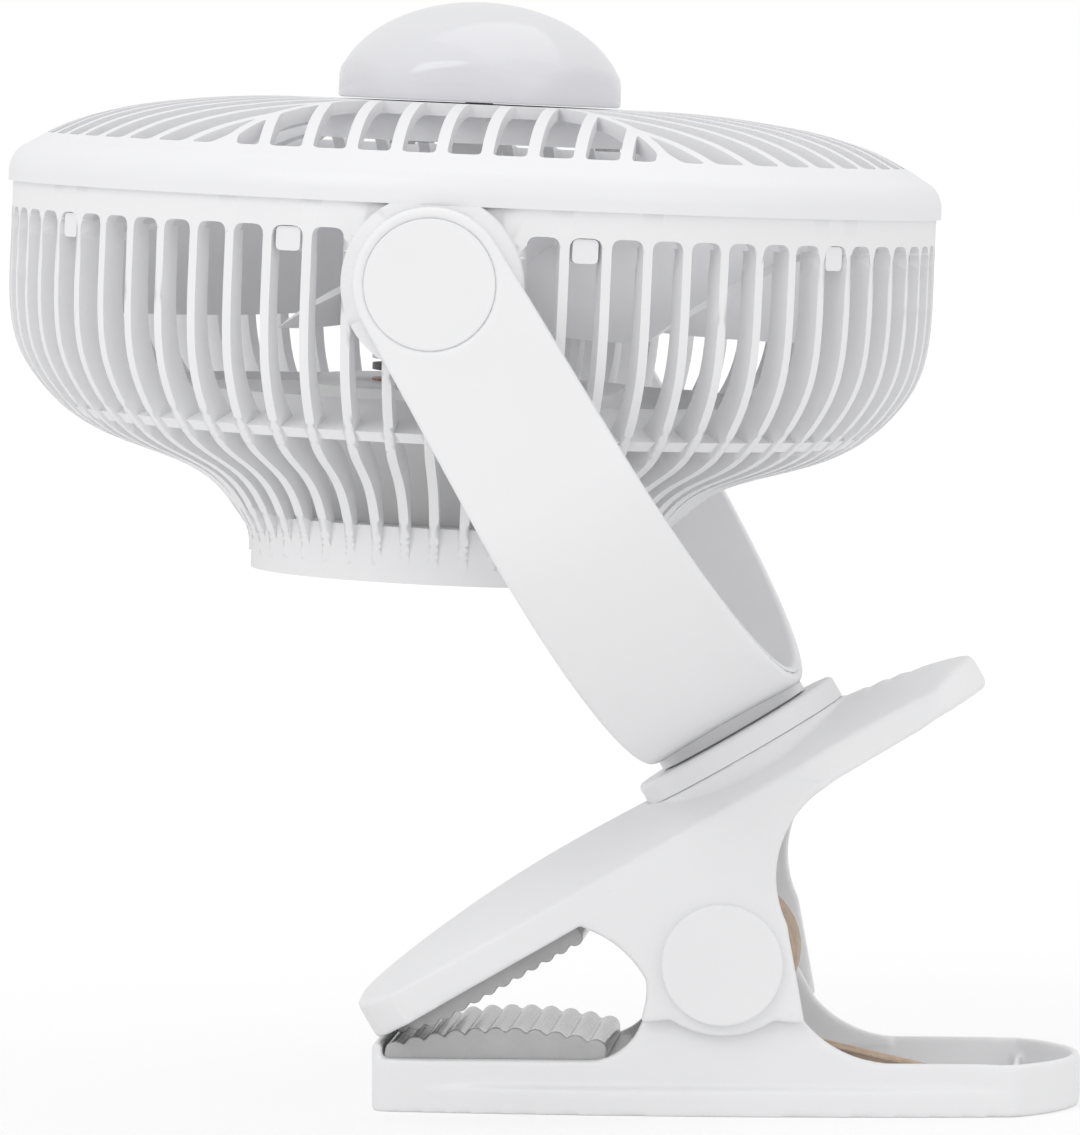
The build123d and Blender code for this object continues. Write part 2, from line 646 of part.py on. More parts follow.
with BuildPart() as clip_lever:
    add(crowned_body(0, LEVER_BOTTOM))
    # Side plates that reach down over the ears to the pin.
    with BuildSketch(Plane.XZ.offset(plate_inner)):
        with BuildLine():
            arch = ThreePointArc(*PLATE_ARCH)
            heel = Polyline(arch @ 1, *PLATE_HEEL)
            foot_x, foot_z = PLATE_HEEL[-1]
            scallop = ThreePointArc(heel @ 1, (0, PLATE_SCALLOP_Z), (-foot_x, foot_z))
            toe = Polyline(scallop @ 1, *PLATE_TOE)
            throat = ThreePointArc(toe @ 1, *PLATE_THROAT)
            Polyline(throat @ 1, *PLATE_TOP, arch @ 0)
        make_face()
        with Locations((0, PIN_Z)):
            Circle(PIN_R + RUNNING_GAP, mode=Mode.SUBTRACT)
    plates = extrude(amount=plate_outer - plate_inner)
    mirror(plates, about=Plane.XZ)
    add(crowned_body(LEVER_WALL, LEVER_BOTTOM - 1), mode=Mode.SUBTRACT)
    # Ribs that back the upper pad, a wall behind it and the seat of the spring's leg.
    with BuildSketch(SLOPE.offset(UPPER_PAD_TOP)) as rib_plan:
        with Locations(((UPPER_PAD_START + UPPER_PAD_END) / 2, 0)):
            with GridLocations(0, PAD_RIB_SPACING, 1, PAD_RIBS):
                Rectangle(UPPER_PAD_END - UPPER_PAD_START, LEVER_RIB)
        with Locations((UPPER_PAD_END + LEVER_RIB / 2, 0)):
            Rectangle(LEVER_RIB, 2 * (LEVER_HALF - LEVER_WALL))
    lever_ribs = extrude(rib_plan.sketch, amount=LEVER_RIB_REACH, mode=Mode.PRIVATE)
    with BuildSketch(SLOPE.offset(spring_seat_n)) as seat_plan:
        with Locations((SPRING_SEAT_U, spring_leg_y)):
            Rectangle(SPRING_SEAT, SPRING_SEAT)
    spring_seat = extrude(seat_plan.sketch, amount=LEVER_RIB_REACH, mode=Mode.PRIVATE)
    inner_body = crowned_body(LEVER_WALL / 2, LEVER_BOTTOM)
    add(lever_ribs.intersect(inner_body))
    add(spring_seat.intersect(inner_body))
    # Round boss under the swivel flange, with a flat seat on the crown.
    with BuildSketch(SWIVEL.offset(LEVER_BOSS_UNDER)):
        Circle(FLANGE_R)
    extrude(amount=flange_foot - LEVER_BOSS_UNDER)
    with BuildSketch(SWIVEL.offset(flange_foot)):
        Circle(FLANGE_R + SLIP_GAP)
    extrude(amount=FLANGE_THICK, mode=Mode.SUBTRACT)
    with BuildSketch(SWIVEL.offset(LEVER_BOSS_UNDER)):
        Circle(BOLT_R + MOVING_GAP)
        with PolarLocations(FLANGE_SCREW_PCR, FLANGE_SCREWS):
            Circle(SCREW_R + SLIP_GAP)
    extrude(amount=FLANGE_THICK, mode=Mode.SUBTRACT)
    with BuildSketch(SWIVEL.offset(LEVER_BOSS_UNDER)):
        with PolarLocations(FLANGE_SCREW_PCR, FLANGE_SCREWS):
            Circle(SCREW_HEAD_R + SLIP_GAP)
    extrude(amount=-FLANGE_THICK, mode=Mode.SUBTRACT)
    # Three curved grip marks across the handle.
    for mark in GRIP_MARK_U:
        with BuildSketch(SLOPE.offset(crest_at(mark) - GRIP_MARK_DEPTH)):
            with BuildLine(mode=Mode.PRIVATE) as mark_line:
                ThreePointArc(
                    (mark, -GRIP_MARK_LENGTH / 2),
                    (mark + GRIP_MARK_WIDTH / 2, 0),
                    (mark, GRIP_MARK_LENGTH / 2),
                )
            SlotArc(mark_line.edges()[0], GRIP_MARK_WIDTH)
        extrude(amount=LEVER_WALL, mode=Mode.SUBTRACT)
save(clip_lever.part, "clip_lever")

# Round caps over the pin's ends, each with a pocket for the head or the ring.
for side, label in ((1, "pivot_cap_front"), (-1, "pivot_cap_back")):
    with BuildPart() as pivot_cap:
        with BuildSketch(Plane.XZ.offset(side * plate_outer)):
            with Locations((0, PIN_Z)):
                Circle(PIN_CAP_R)
        extrude(amount=side * PIN_CAP)
        outside = pivot_cap.faces().sort_by(Axis.Y)[0 if side > 0 else -1]
        fillet(outside.edges(), PIN_CAP_EDGE_R)
        with BuildSketch(Plane.XZ.offset(side * plate_outer)):
            with Locations((0, PIN_Z)):
                Circle(PIN_HEAD_R + MOVING_GAP)
        extrude(amount=side * PIN_CAP_POCKET, mode=Mode.SUBTRACT)
    save(pivot_cap.part, label)


# ================================================================ rubber pads
def tooth_outline(tips, count, depth):
    """Edge of round teeth: tips(t) gives a tip and the way down into the pad."""
    for tooth in range(count):
        points = []
        for share, sunk in ((0, 1), (0.5, 0), (1, 1)):
            (x, y), (down_x, down_y) = tips((tooth + share) / count)
            points.append((x + sunk * depth * down_x, y + sunk * depth * down_y))
        ThreePointArc(*points)


def lower_tips(t):
    """Tooth tips of the lower pad, along its arched top."""
    nose_z, inner_z = LOWER_PAD_ENDS_Z
    bulge = LOWER_PAD_CROWN_Z - (nose_z + inner_z) / 2
    x = LOWER_PAD_START + (LOWER_PAD_END - LOWER_PAD_START) * t
    return (x, nose_z + (inner_z - nose_z) * t + bulge * 4 * t * (1 - t)), (0, -1)


def upper_tips(t):
    """Tooth tips of the upper pad, drawn back at the nose."""
    u = UPPER_PAD_START + (UPPER_PAD_END - UPPER_PAD_START) * t
    rise = max(0, 1 - t * UPPER_TEETH / UPPER_NOSE_TEETH)
    return (u, UPPER_PAD_TIP + (UPPER_PAD_NOSE_TIP - UPPER_PAD_TIP) * rise), (0, 1)


with BuildPart() as lower_pad:
    with BuildSketch(Plane.XZ):
        with BuildLine():
            tooth_outline(lower_tips, LOWER_TEETH, TOOTH_DEPTH)
            Polyline(
                (LOWER_PAD_END, LOWER_PAD_ENDS_Z[1] - TOOTH_DEPTH),
                (LOWER_PAD_END, RIM_HEIGHT),
                (LOWER_PAD_START, RIM_HEIGHT),
                (LOWER_PAD_START, LOWER_PAD_ENDS_Z[0] - TOOTH_DEPTH),
            )
        make_face()
    extrude(amount=LOWER_PAD_HALF, both=True)
save(lower_pad.part, "lower_pad")

with BuildPart() as upper_pad:
    with BuildSketch(SLOPE_SIDE):
        with BuildLine():
            tooth_outline(upper_tips, UPPER_TEETH, TOOTH_DEPTH)
            Polyline(
                (UPPER_PAD_END, UPPER_PAD_TIP + TOOTH_DEPTH),
                (UPPER_PAD_END, UPPER_PAD_TOP),
                (UPPER_PAD_START, UPPER_PAD_TOP),
                (UPPER_PAD_START, UPPER_PAD_NOSE_TIP + TOOTH_DEPTH),
            )
        make_face()
    extrude(amount=UPPER_PAD_HALF, both=True)
    # Rounded nose corners, inside the lever's rounded nose.
    with BuildSketch(SLOPE.offset(UPPER_PAD_TIP)) as pad_plan:
        with Locations(((UPPER_PAD_START + UPPER_PAD_END) / 2, 0)):
            Rectangle(UPPER_PAD_END - UPPER_PAD_START, 2 * UPPER_PAD_HALF)
        fillet(pad_plan.vertices().group_by(Axis.X)[0], PAD_CORNER_R)
    extrude(amount=UPPER_PAD_TOP - UPPER_PAD_TIP, mode=Mode.INTERSECT)
save(upper_pad.part, "upper_pad")

# ============================================================= torsion spring
# One unbroken wire: a leg under the lever's handle, half turns that each climb
# half a pitch, and a leg that lies in the tray. Seen from the front it winds
# anticlockwise, and its coil runs from the back to the front.
coil_r = SPRING_OUTER_R - SPRING_WIRE / 2


def tangent_touch(leg_x, leg_z, side):
    """Angle at which a straight leg from (leg_x, leg_z) touches the coil's mean circle."""
    rise = leg_z - PIN_Z
    return degrees(atan2(rise, leg_x)) + side * degrees(acos(coil_r / hypot(leg_x, rise)))


lever_leg = SLOPE.from_local_coords((SPRING_SEAT_U, 0, spring_seat_n - SPRING_WIRE / 2))
tray_leg_z = TRAY_FLOOR + SPRING_WIRE
touch_lever = tangent_touch(lever_leg.X, lever_leg.Z, 1)
touch_tray = tangent_touch(SPRING_LEG_X, tray_leg_z, -1)
sweep_total = 360 * SPRING_TURNS + (touch_tray - touch_lever) % 360
half_count = ceil(sweep_total / 180)
half_sweep = sweep_total / half_count
climb = SPRING_PITCH * half_sweep / 360


def coil_point(half_steps):
    """Point of the coil after a number of half steps, as (x, y, z)."""
    turn = radians(touch_lever + half_steps * half_sweep)
    return (coil_r * cos(turn), spring_leg_y - half_steps * climb, PIN_Z + coil_r * sin(turn))


with BuildPart() as clip_spring:
    with BuildLine() as spring_line:
        Line(
            (lever_leg.X, spring_leg_y, lever_leg.Z),
            coil_point(0),
        )
        for step in range(half_count):
            ThreePointArc(coil_point(step), coil_point(step + 0.5), coil_point(step + 1))
        Line(coil_point(half_count), (SPRING_LEG_X, coil_point(half_count)[1], tray_leg_z))
    spring_start = Plane(
        origin=spring_line.wires()[0] @ 0, z_dir=spring_line.wires()[0] % 0
    )
    with BuildSketch(spring_start):
        Circle(SPRING_WIRE / 2)
    sweep(path=spring_line.wires()[0])
wire = spring_line.wires()[0]
print(
    "spring: volume over section times length",
    round(clip_spring.part.volume / (pi * SPRING_WIRE**2 / 4 * wire.length), 4),
)
wire_points = [tuple(wire @ (sample / WIRE_SAMPLES)) for sample in range(WIRE_SAMPLES + 1)]
half_turn = round(WIRE_SAMPLES * pi * coil_r / wire.length)
nearest = min(
    dist(point, other)
    for place, point in enumerate(wire_points)
    for other in wire_points[place + half_turn :]
)
print("spring: least gap to itself", round(nearest - SPRING_WIRE, 2))
save(clip_spring.part, "clip_spring")

# =============================================================== swivel parts
with BuildPart() as swivel_flange:
    with BuildSketch(SWIVEL.offset(flange_foot)):
        Circle(FLANGE_R)
    extrude(amount=FLANGE_THICK)
    rims = swivel_flange.faces().filter_by(Plane(swivel_base, z_dir=upright))
    fillet(rims.sort_by(swivel_axis)[-1].edges(), FLANGE_EDGE_R)
    with BuildSketch(SWIVEL.offset(FLANGE_TOP)):
        Circle(WASHER_OUT_R + SLIP_GAP)
    extrude(amount=MOVING_GAP - WASHER_THICK, mode=Mode.SUBTRACT)
    with BuildSketch(SWIVEL.offset(flange_foot)):
        Circle(BOLT_R + RUNNING_GAP)
    extrude(amount=FLANGE_THICK, mode=Mode.SUBTRACT)
    with BuildSketch(SWIVEL.offset(flange_foot)):
        with PolarLocations(FLANGE_SCREW_PCR, FLANGE_SCREWS):
            Circle(SCREW_R + SEAT_GAP)
    extrude(amount=FLANGE_SCREW_BITE, mode=Mode.SUBTRACT)
save(swivel_flange.part, "swivel_flange")

with BuildPart() as friction_washer:
    with BuildSketch(SWIVEL.offset(neck_foot - WASHER_THICK)):
        Circle(WASHER_OUT_R)
        Circle(WASHER_IN_R, mode=Mode.SUBTRACT)
    extrude(amount=WASHER_THICK)
save(friction_washer.part, "swivel_friction_washer")

with BuildPart() as flange_screws:
    with BuildSketch(SWIVEL.offset(LEVER_BOSS_UNDER)):
        with PolarLocations(FLANGE_SCREW_PCR, FLANGE_SCREWS):
            Circle(SCREW_R)
    extrude(amount=flange_foot - LEVER_BOSS_UNDER + FLANGE_SCREW_BITE - SLIP_GAP)
    with BuildSketch(SWIVEL.offset(LEVER_BOSS_UNDER)):
        with PolarLocations(FLANGE_SCREW_PCR, FLANGE_SCREWS):
            Circle(SCREW_HEAD_R)
    extrude(amount=-SCREW_HEAD)
save(flange_screws.part, "flange_screws")

with BuildPart() as wave_washer:
    with BuildSketch(SWIVEL.offset(LEVER_BOSS_UNDER - WAVE_WASHER)):
        Circle(WAVE_WASHER_R)
        Circle(BOLT_R + MOVING_GAP, mode=Mode.SUBTRACT)
    extrude(amount=WAVE_WASHER)
save(wave_washer.part, "swivel_wave_washer")

nut_foot = LEVER_BOSS_UNDER - WAVE_WASHER - NUT
with BuildPart() as swivel_bolt:
    with BuildSketch(SWIVEL.offset(nut_foot)):
        Circle(BOLT_R)
    extrude(amount=yoke_inner_n - nut_foot)
    with BuildSketch(SWIVEL.offset(yoke_inner_n)):
        Circle(BOLT_HEAD_R)
    extrude(amount=BOLT_HEAD)
save(swivel_bolt.part, "swivel_bolt")

with BuildPart() as swivel_nut:
    with BuildSketch(SWIVEL.offset(nut_foot)):
        RegularPolygon(NUT_FLAT_HALF, 6, major_radius=False)
        Circle(BOLT_R + SEAT_GAP, mode=Mode.SUBTRACT)
    extrude(amount=NUT)
save(swivel_nut.part, "swivel_nut")

# ======================================================================= yoke
PIVOT_SECTION = Plane(origin=pivot, x_dir=(0, 1, 0), z_dir=along)
PIVOT_SIDE = Plane(origin=pivot, x_dir=along, z_dir=(0, -1, 0))


def bowed_face(grow):
    """Everything inside the yoke's bowed inner face, grown outward by grow."""
    half = YOKE_INNER_HALF + grow
    with BuildSketch(PIVOT_SECTION) as section:
        with BuildLine():
            far = Line((half, YOKE_TOP_R), (half, -YOKE_STRAIGHT))
            bow = EllipticalCenterArc(
                (0, -YOKE_STRAIGHT), half, YOKE_BOW + grow, 0, arc_size=-180
            )
            Polyline(bow @ 1, (-half, YOKE_TOP_R), far @ 0)
        make_face()
    return section.sketch


def bowed_block(grow):
    """The same space as a block as deep as the yoke is wide."""
    with BuildPart() as block:
        extrude(bowed_face(grow), amount=YOKE_FOOT_HALF + 1, both=True)
    return block.part


yoke_thick = YOKE_LINER + YOKE_SHELL
yoke_inside = bowed_block(0)
yoke_middle = bowed_block(YOKE_LINER)
yoke_outside = bowed_block(yoke_thick)
with BuildPart() as yoke_whole:
    add(yoke_outside)
    add(yoke_inside, mode=Mode.SUBTRACT)
    with BuildSketch(PIVOT_SIDE) as arm_outline:
        with BuildLine():
            CenterArc((0, 0), YOKE_TOP_R, 0, 360)
            foot = -YOKE_STRAIGHT - YOKE_BOW - yoke_thick - 1
            Line((-YOKE_FOOT_HALF, foot), (YOKE_FOOT_HALF, foot))
        make_hull()
    extrude(amount=yoke_outer_half + 1, both=True, mode=Mode.INTERSECT)
    long_edges = yoke_whole.edges() - yoke_whole.edges().filter_by(
        Axis((0, 0, 0), along)
    )
    fillet(long_edges, YOKE_EDGE_R)

with BuildPart() as yoke_outer:
    add(yoke_whole.part)
    add(yoke_middle, mode=Mode.SUBTRACT)
    with BuildSketch(SWIVEL.offset(yoke_outer_n)):
        Circle(SPIGOT_R + SLIP_GAP)
    extrude(amount=yoke_thick, mode=Mode.SUBTRACT)
    # A round recess for each hinge cap, and under it one for the pin's head.
    for side in (1, -1):
        with BuildSketch(Plane.XZ.offset(side * yoke_outer_half)):
            with Locations((pivot.X, pivot.Z)):
                Circle(HINGE_CAP_R + HINGE_CAP_GROOVE)
        extrude(amount=-side * HINGE_CAP, mode=Mode.SUBTRACT)
        with BuildSketch(Plane.XZ.offset(side * yoke_outer_half)):
            with Locations((pivot.X, pivot.Z)):
                Circle(HINGE_HEAD_R + SLIP_GAP)
        extrude(amount=-side * YOKE_SHELL, mode=Mode.SUBTRACT)
save(yoke_outer.part, "yoke_outer")

with BuildPart() as yoke_liner:
    add(yoke_whole.part)
    add(yoke_middle, mode=Mode.INTERSECT)
    with BuildSketch(SWIVEL.offset(yoke_outer_n)):
        Circle(BOLT_R + SLIP_GAP)
    extrude(amount=yoke_thick + 1, mode=Mode.SUBTRACT)
    with BuildSketch(SWIVEL.offset(yoke_inner_n)):
        Circle(BOLT_HEAD_R + SLIP_GAP)
    extrude(amount=BOLT_HEAD, mode=Mode.SUBTRACT)
    with BuildSketch(Plane.XZ):
        with Locations((pivot.X, pivot.Z)):
            Circle(HINGE_PIN_R + SEAT_GAP)
    extrude(amount=yoke_outer_half, both=True, mode=Mode.SUBTRACT)
save(yoke_liner.part, "yoke_liner")

with BuildPart() as swivel_neck:
    with BuildSketch(SWIVEL.offset(neck_foot)):
        Circle(NECK_R)
    extrude(amount=yoke_thick)
    add(yoke_outside, mode=Mode.SUBTRACT)
    with BuildSketch(SWIVEL.offset(neck_foot)):
        Circle(SPIGOT_R)
    extrude(amount=yoke_inner_n - YOKE_LINER - neck_foot)
    with BuildSketch(SWIVEL.offset(neck_foot)):
        Circle(BOLT_R + SEAT_GAP)
    extrude(amount=yoke_thick * 2, mode=Mode.SUBTRACT)
save(swivel_neck.part, "swivel_neck")

# =============================================================== head hinges
boss_face = YOKE_INNER_HALF - HINGE_FACE_GAP
pin_head_face = YOKE_INNER_HALF + YOKE_LINER
pin_inner_end = HINGE_BOSS_INNER - HINGE_RING - HINGE_PIN_TIP
for side, end in ((1, "front"), (-1, "back")):
    with BuildPart() as hinge_pin:
        with BuildSketch(Plane.XZ.offset(side * pin_inner_end)):
            with Locations((pivot.X, pivot.Z)):
                Circle(HINGE_PIN_R)
        extrude(amount=side * (pin_head_face - pin_inner_end))
        with BuildSketch(Plane.XZ.offset(side * pin_head_face)):
            with Locations((pivot.X, pivot.Z)):
                Circle(HINGE_HEAD_R)
        extrude(amount=side * (YOKE_SHELL - HINGE_CAP))
        with BuildSketch(Plane.XZ.offset(side * (HINGE_BOSS_INNER - HINGE_RING))):
            with Locations((pivot.X, pivot.Z)):
                Circle(HINGE_PIN_R)
                Circle(HINGE_GROOVE_R, mode=Mode.SUBTRACT)
        extrude(amount=side * HINGE_RING, mode=Mode.SUBTRACT)
    save(hinge_pin.part, f"hinge_pin_{end}")

    with BuildPart() as hinge_ring:
        with BuildSketch(Plane.XZ.offset(side * (HINGE_BOSS_INNER - HINGE_RING))):
            with Locations((pivot.X, pivot.Z)):
                Circle(HINGE_RING_R)
                Circle(HINGE_GROOVE_R + SEAT_GAP, mode=Mode.SUBTRACT)
        extrude(amount=side * (HINGE_RING - SEAT_GAP))
    save(hinge_ring.part, f"hinge_ring_{end}")

    with BuildPart() as hinge_washer:
        with BuildSketch(Plane.XZ.offset(side * boss_face)):
            with Locations((pivot.X, pivot.Z)):
                Circle(HINGE_WASHER_R)
                Circle(HINGE_PIN_R + SLIP_GAP, mode=Mode.SUBTRACT)
        extrude(amount=side * HINGE_FACE_GAP)
    save(hinge_washer.part, f"hinge_washer_{end}")

    with BuildPart() as hinge_cap:
        with BuildSketch(Plane.XZ.offset(side * (yoke_outer_half - HINGE_CAP))):
            with Locations((pivot.X, pivot.Z)):
                Circle(HINGE_CAP_R)
        extrude(amount=side * HINGE_CAP)
        outside = hinge_cap.faces().sort_by(Axis.Y)[0 if side > 0 else -1]
        chamfer(outside.edges(), HINGE_CAP_EDGE)
    save(hinge_cap.part, f"hinge_cap_{end}")

# ============================================================== front grille
hook_arm_r = CAGE_R - CAGE_WALL - SLIP_GAP
hook_foot = CAGE_BAND + SLIP_GAP + HOOK_HEIGHT
hub_cover_top = GRILLE_TOP - GRILLE_HUB_DEPTH + HUB_COVER
with BuildPart() as front_grille:
    with BuildSketch(HEAD_SECTION):
        with BuildLine():
            outer = Spline(GRILLE_DOME, tangents=((0, 1), (-1, 0)))
            flat = Polyline(
                outer @ 1,
                (0, GRILLE_TOP),
                (0, GRILLE_TOP - GRILLE_WALL),
                (GRILLE_HUB_WALL_R, GRILLE_TOP - GRILLE_WALL),
            )
            inner = Spline(
                (
                    flat @ 1,
                    *((radius, height - GRILLE_WALL) for radius, height in GRILLE_UNDER),
                    (GRILLE_R - GRILLE_WALL, GRILLE_RIM_LIP),
                ),
                tangents=((1, 0), (0.15, -1)),
            )
            Polyline(
                inner @ 1,
                (GRILLE_R - GRILLE_WALL, 0),
                (GRILLE_R, 0),
                outer @ 0,
            )
        make_face()
    revolve(axis=head_axis)
    # Swirled slots between bars of even width.
    with BuildSketch(HEAD):
        with PolarLocations(0, GRILLE_BARS):
            add(swirl_slot())
    extrude(amount=GRILLE_TOP + 1, mode=Mode.SUBTRACT)
    # Deep ring round the hub, for the control and its cover.
    with BuildSketch(HEAD.offset(GRILLE_TOP - GRILLE_HUB_DEPTH)):
        Circle(GRILLE_HUB_WALL_R)
        Circle(GRILLE_HUB_WALL_R - HUB_WALL, mode=Mode.SUBTRACT)
    extrude(amount=GRILLE_HUB_DEPTH - GRILLE_WALL / 2)
    # Snap hooks: an arm inside the cage's band and a nose in the top of a slot.
    for hook in range(HOOKS):
        with BuildSketch(tangent_plane(360 * hook / HOOKS, hook_arm_r - HOOK_ARM)):
            with Locations((0, (HOOK_ROOT - hook_foot) / 2)):
                Rectangle(HOOK_WIDTH, HOOK_ROOT + hook_foot)
    extrude(amount=HOOK_ARM)
    for hook in range(HOOKS):
        with BuildSketch(tangent_plane(360 * hook / HOOKS, hook_arm_r)):
            with Locations((0, HOOK_HEIGHT / 2 - hook_foot)):
                RectangleRounded(HOOK_WIDTH, HOOK_HEIGHT, SLOT_CORNER_R)
    extrude(amount=HOOK_NOSE)
    # Hole for the control's bush, and blind bosses for the cover's screws.
    with BuildSketch(HEAD.offset(hub_cover_top)):
        with PolarLocations(HUB_COVER_PCR, HUB_COVER_SCREWS):
            Circle(SCREW_HEAD_R)
    extrude(amount=GRILLE_TOP - GRILLE_WALL - hub_cover_top)
    with BuildSketch(HEAD.offset(hub_cover_top)):
        with PolarLocations(HUB_COVER_PCR, HUB_COVER_SCREWS):
            Circle(SCREW_R + SEAT_GAP)
    extrude(amount=HUB_COVER_BITE, mode=Mode.SUBTRACT)
    with BuildSketch(HEAD):
        Circle(POT_BUSH_R + SLIP_GAP)
    extrude(amount=GRILLE_TOP + 1, mode=Mode.SUBTRACT)
save(front_grille.part, "front_grille")

# ================================================================== rear cage
rib_angles = [90 + 360 * rib / CAGE_RIBS for rib in range(CAGE_RIBS)]


def rib_radius(radius, reach):
    """Radius at an angle where the hub reaches to reach, from the radius towards +X."""
    share = (CAGE_R - reach) / (CAGE_R - HUB_END_R)
    return reach + (radius - HUB_END_R) * share


def rib_profile(angle):
    """Outline of one rib in the plane through the head's axis."""
    reach = obround_reach(angle)
    outside = [(rib_radius(radius, reach), -depth) for depth, radius in CAGE_OUTER]
    inside = [(rib_radius(radius, reach), -depth) for depth, radius in CAGE_INNER]
    band_outside = (CAGE_R, -CAGE_BAND + RIB_ROOT)
    band_inside = (inside[0][0], -CAGE_BAND + RIB_ROOT)
    outer_edge = Spline(outside, tangents=((0, -1), (0, -1)))
    inner_edge = Spline(inside, tangents=((0, -1), (0, -1)))
    Line(outer_edge @ 1, inner_edge @ 1)
    Polyline(inner_edge @ 0, band_inside, band_outside, outer_edge @ 0)


with BuildPart() as rear_cage:
    slot_foot = CAGE_BAND + SLOT_HEAD
    slot_half = pi * CAGE_R / CAGE_RIBS - CAGE_RIB / 2
    with BuildSketch(HEAD):
        Circle(CAGE_R)
        Circle(CAGE_R - CAGE_WALL, mode=Mode.SUBTRACT)
    extrude(amount=-slot_foot)
    # Round tops of the slots.
    for angle in rib_angles:
        slot_angle = angle + 180 / CAGE_RIBS
        with BuildSketch(tangent_plane(slot_angle, CAGE_R - 2 * CAGE_WALL)):
            with Locations((0, -slot_foot)):
                RectangleRounded(2 * slot_half, 2 * SLOT_HEAD, SLOT_CORNER_R)
    extrude(amount=3 * CAGE_WALL, mode=Mode.SUBTRACT)
    for angle in rib_angles:
        with BuildSketch(radial_plane(angle)):
            with BuildLine():
                rib_profile(angle)
            make_face()
    extrude(amount=CAGE_RIB / 2, both=True)
    # Hub wall with an inner ledge that carries the battery holder.
    with BuildSketch(HEAD.offset(-HUB_BOTTOM)):
        obround(HUB_END_R)
        obround(HUB_END_R - HUB_WALL, mode=Mode.SUBTRACT)
    extrude(amount=HUB_BOTTOM - HUB_TOP)
    with BuildSketch(HEAD.offset(-HUB_TOP - HUB_LEDGE)):
        obround(HUB_END_R - HUB_WALL / 2)
        obround(HOLDER_END_R + LEDGE_GAP, mode=Mode.SUBTRACT)
    extrude(amount=HUB_LEDGE)
    # Sloped ring inside the ribs, with a lip flush with their faces.
    for height, half_x, half_y in RING_OUTSIDE:
        with BuildSketch(HEAD.offset(-height)):
            Ellipse(half_x, half_y)
    loft(ruled=True)
    ring_foot, ring_top = RING_OUTSIDE[0], RING_OUTSIDE[-1]
    for (height, half_x, half_y), drop in ((ring_foot, SLIP_GAP), (ring_top, RING_WALL)):
        with BuildSketch(HEAD.offset(-height - drop)):
            Ellipse(half_x - RING_WALL, half_y - RING_WALL)
    loft(ruled=True, mode=Mode.SUBTRACT)
    with BuildSketch(HEAD.offset(-ring_top[0] - RING_WALL)):
        Ellipse(ring_top[1] - RING_WALL, ring_top[2] - RING_WALL)
    extrude(amount=2 * RING_WALL, mode=Mode.SUBTRACT)
    # Round bosses for the two hinges, cut off at the seam.
    for side in (1, -1):
        for radius, hole, inner in (
            (HINGE_BOSS_R, 0, boss_face - HINGE_BOSS_WALL),
            (HINGE_BOSS_R, HINGE_BOSS_R - HINGE_BOSS_WALL, HINGE_BOSS_INNER),
            (HINGE_BOSS_TUBE_R, 0, HINGE_BOSS_INNER),
        ):
            with BuildSketch(Plane.XZ.offset(side * inner)):
                with Locations((pivot.X, pivot.Z)):
                    Circle(radius)
                    if hole:
                        Circle(hole, mode=Mode.SUBTRACT)
            extrude(amount=side * (boss_face - inner))
        for radius, inner, outer in (
            (HINGE_PIN_R + RUNNING_GAP, pin_inner_end - MOVING_GAP, boss_face),
            (HINGE_RING_R + MOVING_GAP, pin_inner_end - HINGE_RING_ROOM, HINGE_BOSS_INNER),
        ):
            with BuildSketch(Plane.XZ.offset(side * inner)):
                with Locations((pivot.X, pivot.Z)):
                    Circle(radius)
            extrude(amount=side * (outer - inner), mode=Mode.SUBTRACT)
    split(bisect_by=HEAD, keep=Keep.BOTTOM)
    # Screw holes in the ledge and the charging inlet in the long side of the hub.
    with BuildSketch(HEAD.offset(-HUB_TOP - HUB_LEDGE)):
        with GridLocations(2 * HOLDER_SCREW_X, 2 * HOLDER_SCREW_Y, 2, 2):
            Circle(SCREW_R + SEAT_GAP)
    extrude(amount=HUB_LEDGE, mode=Mode.SUBTRACT)
    with BuildSketch(tangent_plane(0, HUB_END_R - 2 * HUB_WALL)):
        with Locations((0, -port_depth)):
            SlotOverall(PORT_WIDTH + 2 * SLIP_GAP, PORT_HEIGHT + 2 * SLIP_GAP)
    extrude(amount=3 * HUB_WALL, mode=Mode.SUBTRACT)
save(rear_cage.part, "rear_cage")

# ================================================================ hub contents
inner_end_r = HUB_END_R - HUB_WALL - SLIP_GAP
with BuildPart() as hub_back_cover:
    with BuildSketch(HEAD.offset(-HUB_BOTTOM)):
        obround(inner_end_r)
    extrude(amount=COVER_THICK)
    with BuildSketch(HEAD.offset(-HUB_BOTTOM)):
        with GridLocations(2 * COVER_SCREW_X, 2 * COVER_SCREW_Y, 2, 2):
            Circle(SCREW_R + SLIP_GAP)
    extrude(amount=COVER_THICK, mode=Mode.SUBTRACT)
    with BuildSketch(HEAD.offset(-HUB_BOTTOM)):
        with GridLocations(2 * COVER_SCREW_X, 2 * COVER_SCREW_Y, 2, 2):
            Circle(SCREW_HEAD_R + SLIP_GAP)
    extrude(amount=COVER_COUNTERBORE, mode=Mode.SUBTRACT)
save(hub_back_cover.part, "hub_back_cover")

